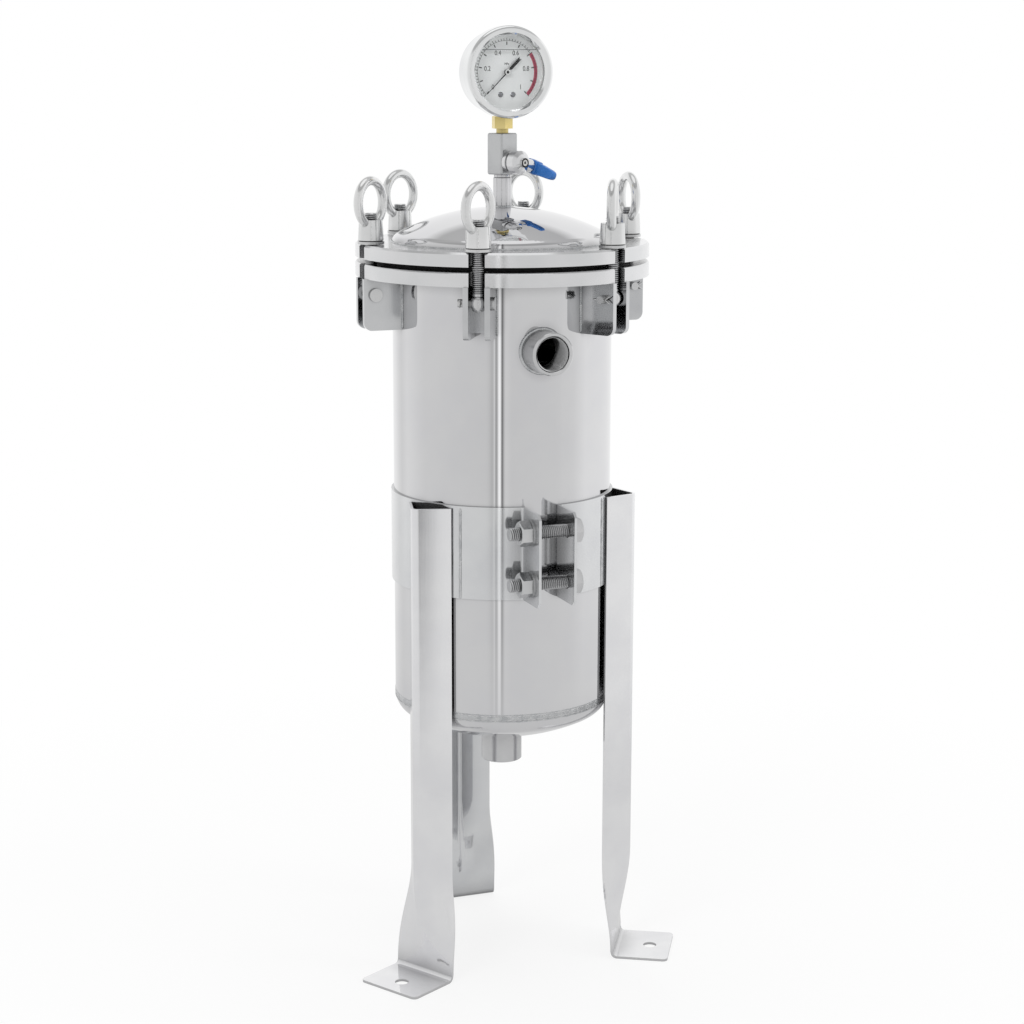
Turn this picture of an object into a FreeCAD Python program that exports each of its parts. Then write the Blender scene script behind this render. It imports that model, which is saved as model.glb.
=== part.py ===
import FreeCAD, Part
import math
import os
import re

import Sketcher

# Bag filter housing with a bolted lid, a gauge and vent on the lid, and a strap-mounted tripod.
# Frame: +Z up, origin on the floor on the vessel axis, inlet towards -Y. Lengths in millimetres.
# Ring positions are bearings about +Z, counted from the inlet (-Y) towards +X.

SIZES = (
    ("shell_radius", 84.15, "outside of the 6 inch shell"),
    ("shell_wall", 2.0, "wall of shell, dish and lid"),
    ("seam_height", 214.0, "weld between the shell and the dished bottom"),
    ("dish_skirt", 3.7, "straight edge of the dished bottom"),
    ("dish_knuckle", 16.0, "outside knuckle radius of the bottom"),
    ("dish_crown", 164.0, "outside crown radius of the bottom"),
    ("flange_under", 539.5, "underside of the body flange"),
    ("flange_width", 27.85, "both flanges beyond the shell"),
    ("flange_thick", 10.5, "thickness of each flange"),
    ("flange_edge", 1.0, "chamfer on the flange rims"),
    ("swing_edge", 1.5, "chamfer on the lid rim that clears the swinging bolts"),
    ("shell_recess", 2.0, "step from each flange face back to the wall that is welded in it"),
    ("gasket_thick", 3.9, "flat gasket between the flanges"),
    ("gasket_width", 11.85, "gasket beyond the shell"),
    ("lid_knuckle", 8.0, "outside knuckle radius of the lid"),
    ("lid_crown", 172.0, "outside crown radius of the lid"),
    ("lid_sink", 0.8, "knuckle start below the top of the lid flange"),
    ("socket_radius", 15.85, "outside of the pipe sockets"),
    ("socket_bore", 12.05, "minor radius of the 3/4 inch thread"),
    ("socket_edge", 1.2, "chamfer at the mouth of each socket"),
    ("inlet_height", 490.0, "inlet axis above the floor"),
    ("inlet_length", 21.85, "inlet mouth beyond the shell"),
    ("inlet_depth", 5.15, "inlet socket inside the shell"),
    ("outlet_under", 153.5, "outlet mouth above the floor"),
    ("outlet_length", 28.0, "length of the outlet socket"),
    ("seat_height", 460.0, "top of the basket seat"),
    ("seat_thick", 4.0, "basket seat ring"),
    ("basket_radius", 57.0, "outside of the basket"),
    ("basket_wall", 1.5, "perforated sheet"),
    ("basket_foot", 14.0, "basket floor above the seam of the bottom"),
    ("basket_rim", 69.0, "outside of the basket rim"),
    ("rim_thick", 3.0, "basket rim"),
    ("hole_side", 7.0, "side of a square perforation"),
    ("hole_pitch", 20.0, "rows of perforations"),
    ("hole_margin", 20.0, "first row of perforations below the seat"),
    ("seat_clearance", 2.5, "seat bore round the basket"),
    ("bag_radius", 52.5, "outside of the bag"),
    ("bag_gap", 7.0, "bag above the underside of the basket floor"),
    ("bag_felt", 1.8, "felt of the bag"),
    ("bag_round", 26.0, "rounded bottom of the bag"),
    ("ring_width", 9.0, "width of the bag ring"),
    ("ring_thick", 4.0, "bag ring"),
    ("bolt_offset", 20.55, "swing bolts beyond the shell"),
    ("bolt_radius", 5.0, "M10 thread"),
    ("slot_clearance", 1.0, "flange slot beside the bolt"),
    ("web_margin", 0.2, "flange ring beyond the slot ends, where the lobes between the slots begin"),
    ("bolt_top", 588.0, "upper end of the swing bolts"),
    ("bolt_edge", 0.8, "chamfer at the end of the swing bolts"),
    ("thread_start", 551.0, "lower end of the thread on the swing bolts"),
    ("thread_relief", 0.25, "plain shank below the thread, smaller in radius"),
    ("pivot_drop", 12.0, "hinge pin below the body flange"),
    ("eye_radius", 6.75, "spherical eye of the swing bolt"),
    ("eye_width", 8.5, "eye across its flats"),
    ("pin_radius", 3.0, "hinge pin"),
    ("pin_clearance", 0.05, "running clearance on the hinge pin"),
    ("pin_head", 4.9, "radius of the pin head"),
    ("pin_head_thick", 2.4, "pin head"),
    ("pin_tail", 5.0, "pin beyond the lug"),
    ("cotter_wire", 0.65, "wire radius of the split pin"),
    ("cotter_loop", 1.7, "loop radius of the split pin"),
    ("cotter_slack", 0.1, "split pin legs off the hinge pin"),
    ("cotter_leg", 4.8, "bent legs of the split pin"),
    ("ear_thick", 4.0, "lug ears and web"),
    ("ear_gap", 12.0, "between the lug ears"),
    ("lug_height", 38.7, "lug below the body flange"),
    ("lug_edge", 8.8, "outer edge of the lugs beyond the bolt circle"),
    ("lug_corner", 6.0, "corner cut of the ears"),
    ("web_lift", 3.2, "web above the lower edge of the ears"),
    ("washer_gap", 0.5, "washer above the lid flange, nuts backed off"),
    ("washer_radius", 10.0, "M10 plain washer"),
    ("washer_thick", 2.0, "M10 plain washer"),
    ("thread_clearance", 0.1, "nut or washer round the bolt"),
    ("nut_base", 9.6, "foot radius of the eye nut"),
    ("nut_neck", 8.8, "upper radius of the eye nut body"),
    ("nut_height", 16.0, "eye nut body"),
    ("nut_edge", 0.8, "chamfer under the eye nut"),
    ("ring_radius", 16.25, "eye ring to the middle of its wire"),
    ("ring_wire", 3.5, "eye ring wire radius"),
    ("ring_lift", 28.4, "eye ring centre above the foot of the nut"),
    ("strap_under", 303.2, "lower edge of the strap"),
    ("strap_height", 70.6, "strap, along the shell"),
    ("strap_thick", 2.0, "strap and leg sheet"),
    ("clamp_half", 13.0, "half of the gap between the clamp ears"),
    ("clamp_edge", 15.1, "clamp ears beyond their bolts"),
    ("clamp_corner", 4.0, "corner cut of the clamp ears"),
    ("clamp_bend", 3.0, "outside bend of the clamp ears"),
    ("clamp_offset", 18.35, "clamp bolts beyond the shell"),
    ("clamp_spacing", 38.8, "between the two clamp bolts"),
    ("clamp_length", 50.0, "clamp bolts under the head"),
    ("clamp_clearance", 0.5, "bolt hole in the clamp ears round the bolt"),
    ("hex_flats", 17.0, "M10 head and nut across flats"),
    ("head_thick", 6.4, "M10 bolt head"),
    ("nut_thick", 8.4, "M10 nut"),
    ("strip_width", 56.0, "leg strip"),
    ("leg_bend", 3.5, "inside bend of the leg section"),
    ("leg_top", 371.5, "upper end of the legs"),
    ("flare_height", 84.0, "where the leg section begins to open out"),
    ("foot_offset", 10.45, "outer face of the flattened leg beyond the shell"),
    ("foot_length", 42.9, "tip of the foot beyond the flattened leg"),
    ("foot_bend", 3.0, "inside bend of the foot"),
    ("foot_corner", 4.0, "corner radius of the foot"),
    ("foot_hole_offset", 26.4, "anchor hole beyond the flattened leg"),
    ("foot_hole", 5.3, "radius of the anchor hole"),
    ("nipple_radius", 7.0, "1/4 inch pipe on the lid"),
    ("nipple_bore", 4.6, "bore of the lid pipe"),
    ("nipple_rise", 24.0, "lid pipe from the crown of the lid up to the tee block"),
    ("nipple_root", 7.0, "lid pipe below the crown of the lid"),
    ("thread_turn", 0.6, "thread root below the pipe"),
    ("block_side", 16.6, "square tee block"),
    ("block_height", 31.2, "tee block"),
    ("block_edge", 1.6, "rounded edges of the tee block"),
    ("pipe_screw_in", 4.4, "pipe thread in the tee block, clear of the vent bore"),
    ("screw_in", 8.0, "gauge thread in the tee block"),
    ("stem_radius", 4.6, "gauge thread"),
    ("stem_flats", 14.0, "gauge hexagon across flats"),
    ("stem_gap", 3.3, "thread left between the block and the hexagon"),
    ("stem_hex", 10.3, "height of the gauge hexagon"),
    ("case_radius", 31.5, "gauge case"),
    ("case_wall", 1.2, "gauge case"),
    ("case_back", 12.0, "back of the gauge case behind the stem"),
    ("case_front", 12.5, "front edge of the gauge case"),
    ("case_round", 4.0, "rounded back of the gauge case"),
    ("bezel_radius", 34.2, "rolled bezel"),
    ("bezel_opening", 27.6, "visible dial"),
    ("bezel_front", 19.0, "front of the bezel"),
    ("bezel_clearance", 0.2, "back of the bezel in front of the corners of the gauge hexagon"),
    ("bezel_round", 3.0, "rolled edge of the bezel"),
    ("lens_thick", 3.0, "gauge lens"),
    ("dial_front", 8.5, "face of the dial"),
    ("dial_thick", 0.8, "dial plate"),
    ("needle_length", 23.0, "pointer from its spindle"),
    ("needle_tail", 14.5, "counterweight end of the pointer"),
    ("needle_width", 0.9, "pointer"),
    ("needle_thick", 0.5, "pointer sheet"),
    ("needle_gap", 1.6, "pointer in front of the dial"),
    ("hub_radius", 2.2, "pointer hub"),
    ("spindle_radius", 1.0, "pointer spindle"),
    ("spindle_clearance", 0.05, "running clearance of the spindle"),
    ("needle_zero", 225.0, "pointer at zero, degrees from the right, anticlockwise"),
    ("vent_lift", 9.6, "vent valve axis above the underside of the block"),
    ("vent_bearing", 22.0, "bearing of the vent valve"),
    ("vent_roll", 13.0, "vent stem below the horizontal"),
    ("vent_neck", 4.8, "vent thread in the tee block"),
    ("vent_screw_in", 4.0, "vent thread inside the tee block"),
    ("vent_collar", 8.2, "vent collar"),
    ("vent_waist", 6.2, "vent waist"),
    ("vent_body", 8.8, "vent body"),
    ("vent_bore", 2.0, "vent passage"),
    ("vent_ball", 4.0, "vent ball"),
    ("ball_clearance", 0.1, "vent ball in its seat"),
    ("ball_slot", 3.0, "bottom of the stem in the ball"),
    ("spool_clearance", 0.05, "vent stem in its bonnet"),
    ("vent_middle", 17.5, "vent ball from the block axis"),
    ("vent_end", 25.5, "vent mouth from the block axis"),
    ("bonnet_radius", 5.0, "vent bonnet"),
    ("bonnet_length", 12.5, "vent bonnet from the vent axis"),
    ("spool_radius", 2.4, "vent stem"),
    ("lever_length", 25.0, "vent lever from its stem"),
    ("lever_width", 9.0, "vent lever at its root"),
    ("lever_tip", 5.0, "vent lever at its tip"),
    ("lever_hub", 6.0, "radius of the lever hub"),
    ("lever_thick", 7.5, "vent lever along its stem"),
    ("lever_gap", 0.5, "lever above the bonnet"),
    ("lever_angle", 15.0, "vent lever from the vent axis"),
)
DERIVED = (
    ("flange_radius", "shell_radius + flange_width", "outside of both flanges"),
    ("gasket_radius", "shell_radius + gasket_width", "outside of the gasket"),
    ("bolt_circle", "shell_radius + bolt_offset", "radius of the swing bolt circle"),
    ("lug_reach", "bolt_circle + lug_edge", "outer edge of the lugs from the vessel axis"),
    ("clamp_axis", "shell_radius + clamp_offset", "clamp bolts from the vessel axis"),
    ("clamp_reach", "clamp_axis + clamp_edge", "clamp ears from the vessel axis"),
    ("inlet_reach", "shell_radius + inlet_length", "inlet mouth from the vessel axis"),
    ("inlet_root", "shell_radius - inlet_depth", "inner end of the inlet socket"),
    ("foot_plane", "shell_radius + foot_offset", "outer face of the flattened leg from the vessel axis"),
    ("foot_circle", "foot_plane + foot_hole_offset", "radius of the anchor hole circle"),
    ("foot_reach", "foot_plane + foot_length", "tip of the foot from the vessel axis"),
    ("basket_depth", "seat_height - seam_height - basket_foot", "basket below its rim"),
    ("bag_length", "basket_depth + rim_thick - bag_gap", "bag below its ring"),
)
BOLT_BEARINGS = (-90.0, -30.0, 30.0, 90.0, 150.0, -150.0)
EYE_BEARINGS = (-51.0, -53.3, -26.9, -3.2, 28.9, -59.6)
LEG_BEARINGS = {"leg_left": -60.0, "leg_right": 60.0, "leg_rear": 180.0}
BASKET_COLUMNS = 18
FLARE_SECTIONS = 7  # sections lofted from the right-angled strip to the flat one
FLAT_OPENING = 0.6  # degrees left between each flange and the flat strip at the foot
GAUGE_TURN = -5.0  # degrees that the gauge hexagon stands turned when it is tight
COTTER_SPREAD = 35.0  # degrees that each leg of a split pin is bent aside
MARGIN = 1.0  # a cutting outline reaches this far past the face that it cuts
NAMES = {name for name, _, _ in SIZES + DERIVED}
WORD = re.compile(r"[A-Za-z_]\w*")

doc = FreeCAD.newDocument("bag_filter_housing")
sheet = doc.addObject("Spreadsheet::Sheet", "Sizes")
for row, (name, size, note) in enumerate(SIZES + DERIVED, start=1):
    sheet.set(f"A{row}", note)
    sheet.set(f"B{row}", f"={size}")
    sheet.setAlias(f"B{row}", name)
reader = doc.addObject("App::FeaturePython", "Reader")
doc.recompute()
parts = []


def in_sheet(text):
    """Return an expression with every size name pointing at the sheet."""
    return WORD.sub(lambda word: f"Sizes.{word.group()}" if word.group() in NAMES else word.group(), text)


def value(text):
    """Return the number that an expression gives now."""
    result = reader.evalExpression(in_sheet(text))
    return float(getattr(result, "Value", result))


def bind(item, **properties):
    """Bind properties of an object to expressions of the sheet; a double underscore stands for a dot."""
    for name, text in properties.items():
        item.setExpression(name.replace("__", "."), in_sheet(text))


def keep(item, label):
    """Name a finished sub-part; its label is its file name."""
    item.Label = label
    parts.append(item)
    return item


def about_axis(bearing):
    """Return the turn about +Z that takes +X to a bearing."""
    return FreeCAD.Rotation(FreeCAD.Vector(0, 0, 1), bearing - 90.0)


def new_body(label):
    """Return an empty body that may hold several solids."""
    item = doc.addObject("PartDesign::Body", label)
    item.AllowCompound = True
    return keep(item, label)


def origin_part(body, role):
    """Return an origin plane or axis of a body by its role."""
    return next(part for part in body.Origin.OriginFeatures if part.Role == role)


def new_sketch(body, name, role, offset=None):
    """Return an empty sketch on an origin plane, moved along the plane's normal by an expression."""
    sketch = body.newObject("Sketcher::SketchObject", name)
    sketch.AttachmentSupport = [(origin_part(body, role), "")]
    sketch.MapMode = "FlatFace"
    if offset:
        bind(sketch, AttachmentOffset__Base__z=offset)
    return sketch


def fix(sketch, kind, *where, size):
    """Add a dimension to a sketch and bind it to the sheet."""
    index = sketch.addConstraint(Sketcher.Constraint(kind, *where, value(size)))
    sketch.setExpression(f"Constraints[{index}]", in_sheet(size))


def outline(sketch, points):
    """Draw one closed outline. A point is (x, y), or (x, y, radius, side) where an arc ends at it.

    side is +1 for an arc that runs anticlockwise and -1 for one that runs clockwise.
    """
    corners = [FreeCAD.Vector(value(point[0]), value(point[1]), 0) for point in points]
    first = sketch.GeometryCount
    ends = []
    for index, point in enumerate(points):
        start, end = corners[index - 1], corners[index]
        if len(point) == 2:
            sketch.addGeometry(Part.LineSegment(start, end), False)
            ends.append((1, 2))
            continue
        radius, side = value(point[2]), point[3]
        chord = end.sub(start)
        normal = FreeCAD.Vector(-chord.y, chord.x, 0).normalize() * side
        centre = (start + end) * 0.5 + normal * math.sqrt(max(radius**2 - chord.Length**2 / 4, 0))
        angles = [math.atan2(p.y - centre.y, p.x - centre.x) for p in (start, end)][::side]
        circle = Part.Circle(centre, FreeCAD.Vector(0, 0, 1), radius)
        sketch.addGeometry(Part.ArcOfCircle(circle, *angles), False)
        ends.append((1, 2) if side > 0 else (2, 1))
    for index, point in enumerate(points):
        here = first + index
        before = first + (index - 1) % len(points)
        sketch.addConstraint(
            Sketcher.Constraint("Coincident", before, ends[index - 1][1], here, ends[index][0])
        )
        fix(sketch, "DistanceX", -1, 1, here, ends[index][1], size=point[0])
        fix(sketch, "DistanceY", -1, 1, here, ends[index][1], size=point[1])
        if len(point) == 4:
            fix(sketch, "Radius", here, size=point[2])


def circles(sketch, *rings):
    """Draw circles, each given as (x, y, radius)."""
    for x, y, radius in rings:
        centre = FreeCAD.Vector(value(x), value(y), 0)
        index = sketch.addGeometry(Part.Circle(centre, FreeCAD.Vector(0, 0, 1), value(radius)), False)
        fix(sketch, "DistanceX", -1, 1, index, 3, size=x)
        fix(sketch, "DistanceY", -1, 1, index, 3, size=y)
        fix(sketch, "Radius", index, size=radius)


def box_points(x_low, y_low, x_high, y_high):
    """Return the corners of a rectangle."""
    return [(x_low, y_low), (x_high, y_low), (x_high, y_high), (x_low, y_high)]


def extrude(body, kind, name, sketch, length, reverse=False):
    """Add a Pad or Pocket of a given length."""
    feature = body.newObject(f"PartDesign::{kind}", name)
    feature.Profile = sketch
    feature.Reversed = reverse
    bind(feature, Length=length)
    return feature


def revolve(body, name, sketch, kind="Revolution", axis="V_Axis"):
    """Turn a sketch round one of its own axes."""
    feature = body.newObject(f"PartDesign::{kind}", name)
    feature.Profile = sketch
    feature.ReferenceAxis = (sketch, [axis])
    feature.Angle = 360.0
    return feature


def polar(body, name, features, count):
    """Repeat features round the vessel axis."""
    pattern = body.newObject("PartDesign::PolarPattern", name)
    pattern.Originals = features
    pattern.Axis = (origin_part(body, "Z_Axis"), [""])
    pattern.Angle = 360.0
    pattern.Occurrences = count
    body.Tip = pattern
    return pattern


def turned(label, points):
    """Return a body turned round +Z from an outline of (radius, height) points."""
    body = new_body(label)
    sketch = new_sketch(body, "Profile", "XZ_Plane")
    outline(sketch, points)
    revolve(body, "Turned", sketch)
    return body


def dished(label, knuckle, crown, base, skirt, hole, up):
    """Return a dished end with a straight skirt, a knuckle and a crown; up is +1 or -1."""
    sign = "+" if up > 0 else "-"
    back = "-" if up > 0 else "+"
    rise = f"sqrt(({crown} - {knuckle})^2 - (shell_radius - {knuckle})^2)"
    centre = f"({base} {back} {rise})"
    share = f"((shell_radius - {knuckle}) / ({crown} - {knuckle}))"
    fall = f"({rise} / ({crown} - {knuckle}))"
    inner = f"({crown} - shell_wall)"
    edge = f"({base} {back} {skirt})"
    return turned(
        label,
        [
            ("shell_radius - shell_wall", edge),
            ("shell_radius", edge),
            ("shell_radius", base),
            (f"{crown} * {share}", f"{centre} {sign} {crown} * {fall}", knuckle, up),
            (hole, f"{centre} {sign} sqrt({crown}^2 - {hole}^2)", crown, up),
            (hole, f"{centre} {sign} sqrt({inner}^2 - {hole}^2)"),
            (f"{inner} * {share}", f"{centre} {sign} {inner} * {fall}", inner, -up),
            ("shell_radius - shell_wall", base, f"{knuckle} - shell_wall", -up),
        ],
    )


FLANGE_TOP = "(flange_under + flange_thick)"
LID_UNDER = f"({FLANGE_TOP} + gasket_thick)"
LID_TOP = f"({LID_UNDER} + flange_thick)"
LID_BASE = f"({LID_TOP} - lid_sink)"
LID_RISE = "sqrt((lid_crown - lid_knuckle)^2 - (shell_radius - lid_knuckle)^2)"
LID_CROWN = f"({LID_BASE} - {LID_RISE} + lid_crown)"
NUT_FOOT = f"({LID_TOP} + washer_gap + washer_thick)"
PIVOT = "(flange_under - pivot_drop)"
SHELL_BORE = "(shell_radius - shell_wall)"


def vessel_shell():
    """Rolled shell with the hole for the inlet socket."""
    top = f"{FLANGE_TOP} - shell_recess"
    body = turned("vessel_shell", box_points(SHELL_BORE, "seam_height", "shell_radius", top))
    hole = new_sketch(body, "InletHole", "XZ_Plane")
    circles(hole, ("0", "inlet_height", "socket_radius"))
    extrude(body, "Pocket", "InletCut", hole, "inlet_reach", reverse=True)


def slotted_flange(label, under, edge):
    """Flat flange in two pieces: a ring, and the six lobes between the open bolt slots."""
    upper = f"{under} + flange_thick"
    half = "(bolt_radius + slot_clearance)"
    end = f"(bolt_circle - {half})"
    web = f"(sqrt({end}^2 + {half}^2) + web_margin)"
    ring = turned(label, box_points("shell_radius", under, web, upper))
    lobes = turned(
        f"{label}_lobes",
        [
            (web, under),
            ("flange_radius", under),
            ("flange_radius", f"{upper} - {edge}"),
            (f"flange_radius - {edge}", upper),
            (web, upper),
        ],
    )
    for body in (ring, lobes):
        sketch = new_sketch(body, "SlotOutline", "XY_Plane", offset=under)
        outline(sketch, box_points(end, f"-{half}", f"flange_radius + {MARGIN}", half))
        cut = extrude(body, "Pocket", "Slot", sketch, "flange_thick", reverse=True)
        polar(body, "Slots", [cut], len(BOLT_BEARINGS))


def pipe_socket(label, root, mouth, turn, **place):
    """Female pipe socket along its own +Z, from its root to a chamfered mouth."""
    body = turned(
        label,
        [
            ("socket_bore", root),
            ("socket_radius", root),
            ("socket_radius", f"{mouth} - socket_edge / 2"),
            ("socket_radius - socket_edge / 2", mouth),
            ("socket_bore + socket_edge", mouth),
            ("socket_bore", f"{mouth} - socket_edge"),
        ],
    )
    body.Placement = FreeCAD.Placement(FreeCAD.Vector(), turn)
    bind(body, **place)


def hinge_lug(label, bearing):
    """U bracket under the body flange: two drilled ears joined by a web that follows the shell."""
    body = new_body(label)
    half = "(ear_gap / 2 + ear_thick)"
    web = "(shell_radius + ear_thick)"
    ears = new_sketch(body, "Plan", "XY_Plane", offset="flange_under - lug_height")
    outline(
        ears,
        [
            (f"shell_radius - {MARGIN}", f"-{half}"),
            ("lug_reach", f"-{half}"),
            ("lug_reach", "-ear_gap / 2"),
            (web, "-ear_gap / 2"),
            (web, "ear_gap / 2"),
            ("lug_reach", "ear_gap / 2"),
            ("lug_reach", half),
            (f"shell_radius - {MARGIN}", half),
        ],
    )
    extrude(body, "Pad", "Channel", ears, "lug_height")
    low = "(flange_under - lug_height)"
    relief = new_sketch(body, "WebEdge", "YZ_Plane", offset=f"shell_radius - 2 * {MARGIN}")
    outline(relief, box_points("-ear_gap / 2", low, "ear_gap / 2", f"{low} + web_lift"))
    extrude(body, "Pocket", "WebRelief", relief, f"ear_thick + 3 * {MARGIN}", reverse=True)
    shell = new_sketch(body, "ShellCircle", "XY_Plane", offset=low)
    circles(shell, ("0", "0", "shell_radius"))
    extrude(body, "Pocket", "ShellSeat", shell, "lug_height", reverse=True)
    corner = new_sketch(body, "CornerOutline", "XZ_Plane", offset=f"-{half}")
    outline(
        corner,
        [
            ("lug_reach - lug_corner", f"{low} - {MARGIN}"),
            (f"lug_reach + {MARGIN}", f"{low} - {MARGIN}"),
            (f"lug_reach + {MARGIN}", f"{low} + lug_corner"),
            ("lug_reach", f"{low} + lug_corner"),
            ("lug_reach - lug_corner", low, "lug_corner", -1),
        ],
    )
    extrude(body, "Pocket", "Corners", corner, f"2 * {half}", reverse=True)
    hole = new_sketch(body, "PinCircle", "XZ_Plane", offset=f"-{half}")
    circles(hole, ("bolt_circle", PIVOT, "pin_radius + pin_clearance"))
    extrude(body, "Pocket", "PinHole", hole, f"2 * {half}", reverse=True)
    body.Placement.Rotation = about_axis(bearing)


def hinge_pins():
    """Headed pins through the lugs, one for each swing bolt."""
    body = new_body("hinge_pins")
    half = "(ear_gap / 2 + ear_thick)"
    shank = new_sketch(body, "ShankCircle", "XZ_Plane", offset=f"-{half}")
    circles(shank, ("bolt_circle", PIVOT, "pin_radius"))
    pin = extrude(body, "Pad", "Shank", shank, f"2 * {half} + pin_tail")
    head = new_sketch(body, "HeadCircle", "XZ_Plane", offset=f"-{half} - pin_head_thick")
    circles(head, ("bolt_circle", PIVOT, "pin_head"))
    cap = extrude(body, "Pad", "Head", head, "pin_head_thick")
    hole = new_sketch(body, "CotterCircle", "YZ_Plane", offset=f"bolt_circle - pin_radius - {MARGIN}")
    circles(hole, (f"-{half} - pin_tail / 2", PIVOT, "cotter_wire + pin_clearance"))
    drill = extrude(body, "Pocket", "CotterHole", hole, f"2 * (pin_radius + {MARGIN})", reverse=True)
    polar(body, "Pins", [pin, cap, drill], len(BOLT_BEARINGS))


def split_pins():
    """Split pins through the pin tails: a loop on the inner side and two spread legs on the outer side."""
    tail = "(-ear_gap / 2 - ear_thick - pin_tail / 2)"
    inner = "(bolt_circle - pin_radius - cotter_wire)"
    pins = []
    for bearing in BOLT_BEARINGS:
        shank = doc.addObject("Part::Cylinder", "CotterShank")
        bind(shank, Radius="cotter_wire", Height="2 * (pin_radius + cotter_wire)")
        shank.Placement.Rotation = FreeCAD.Rotation(FreeCAD.Vector(0, 1, 0), 90)
        bind(shank, Placement__Base__x=inner, Placement__Base__y=tail)
        loop = doc.addObject("Part::Torus", "CotterLoop")
        bind(loop, Radius1="cotter_loop", Radius2="cotter_wire * 6 / 7")
        bind(loop, Placement__Base__x=f"{inner} - cotter_loop", Placement__Base__y=tail)
        pieces = [shank, loop]
        for spread in (-COTTER_SPREAD, COTTER_SPREAD):
            leg = doc.addObject("Part::Cylinder", "CotterLeg")
            bind(leg, Radius="cotter_wire * 5 / 7", Height="cotter_leg")
            leg.Placement.Rotation = FreeCAD.Rotation(FreeCAD.Vector(0, 1, 0), 90 + spread)
            bind(leg, Placement__Base__x="bolt_circle + pin_radius + cotter_slack", Placement__Base__y=tail)
            pieces.append(leg)
        pin = doc.addObject("Part::MultiFuse", "Cotter")
        pin.Shapes = pieces
        pin.Placement.Rotation = about_axis(bearing)
        bind(pin, Placement__Base__z=PIVOT)
        pins.append(pin)
    group("split_pins", pins)


def group(label, members):
    """Gather identical fasteners into one sub-part of separate solids."""
    item = doc.addObject("Part::Compound", label)
    item.Links = members
    return keep(item, label)


def place_on_circle(body, bearing, facing, height=None):
    """Stand a body on the bolt circle at a bearing, with its own +X turned to another bearing."""
    angle = math.radians(bearing)
    body.Placement.Rotation = about_axis(facing)
    bind(
        body,
        Placement__Base__x=f"bolt_circle * {math.sin(angle):.9f}",
        Placement__Base__y=f"bolt_circle * {-math.cos(angle):.9f}",
    )
    if height:
        bind(body, Placement__Base__z=height)


def swing_bolt(label, bearing):
    """Eye bolt: a spherical eye with flats, a plain neck and an M10 thread."""
    body = new_body(label)
    neck = "(bolt_radius - thread_relief)"
    sketch = new_sketch(body, "Profile", "XZ_Plane")
    outline(
        sketch,
        [
            ("0", f"{PIVOT} - eye_radius"),
            (neck, f"{PIVOT} + sqrt(eye_radius^2 - {neck}^2)", "eye_radius", 1),
            (neck, "thread_start"),
            ("bolt_radius", "thread_start"),
            ("bolt_radius", "bolt_top - bolt_edge"),
            ("bolt_radius - bolt_edge", "bolt_top"),
            ("0", "bolt_top"),
        ],
    )
    revolve(body, "Turned", sketch)
    for name, side, reverse in (("FlatA", "", True), ("FlatB", "-", False)):
        flat = new_sketch(body, f"{name}Outline", "XZ_Plane", offset=f"{side}eye_width / 2")
        outline(flat, box_points("-eye_radius", f"{PIVOT} - eye_radius", "eye_radius", f"{PIVOT} + eye_radius"))
        extrude(body, "Pocket", name, flat, "eye_radius", reverse=reverse)
    hole = new_sketch(body, "PinCircle", "XZ_Plane", offset="-eye_radius")
    circles(hole, ("0", PIVOT, "pin_radius + pin_clearance"))
    extrude(body, "Pocket", "PinHole", hole, "2 * eye_radius", reverse=True)
    place_on_circle(body, bearing, bearing)


def washer(label, bearing):
    """Plain washer under an eye nut."""
    hole = "bolt_radius + thread_clearance"
    body = turned(label, box_points(hole, "0", "washer_radius", "washer_thick"))
    place_on_circle(body, bearing, bearing, f"{LID_TOP} + washer_gap")


def eye_nut(label, bearing, eye_bearing):
    """Lifting eye nut: a tapered round body with a forged ring, bored through for the bolt."""
    hole = "bolt_radius + thread_clearance"
    body = turned(
        label,
        [
            (hole, "0"),
            ("nut_base - nut_edge", "0"),
            ("nut_base", "nut_edge"),
            ("nut_neck", "nut_height"),
            (hole, "nut_height"),
        ],
    )
    ring = body.newObject("PartDesign::AdditiveTorus", "Ring")
    ring.AttachmentSupport = [(origin_part(body, "XZ_Plane"), "")]
    ring.MapMode = "FlatFace"
    bind(ring, Radius1="ring_radius", Radius2="ring_wire", AttachmentOffset__Base__y="ring_lift")
    bore = new_sketch(body, "BoreCircle", "XY_Plane")
    circles(bore, ("0", "0", hole))
    extrude(body, "Pocket", "Bore", bore, "nut_height + 2 * ring_wire", reverse=True)
    place_on_circle(body, bearing, eye_bearing, NUT_FOOT)


def upright_edges(shape, spots):
    """Return the names of the vertical edges that stand at given (x, y) spots."""
    names = []
    for index, edge in enumerate(shape.Edges, start=1):
        low, high = edge.Vertexes[0].Point, edge.Vertexes[-1].Point
        level = abs(low.x - high.x) < 1e-6 and abs(low.y - high.y) < 1e-6 and abs(low.z - high.z) > 1
        if level and any(math.hypot(low.x - x, low.y - y) < 1e-3 for x, y in spots):
            names.append(f"Edge{index}")
    return names


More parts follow.
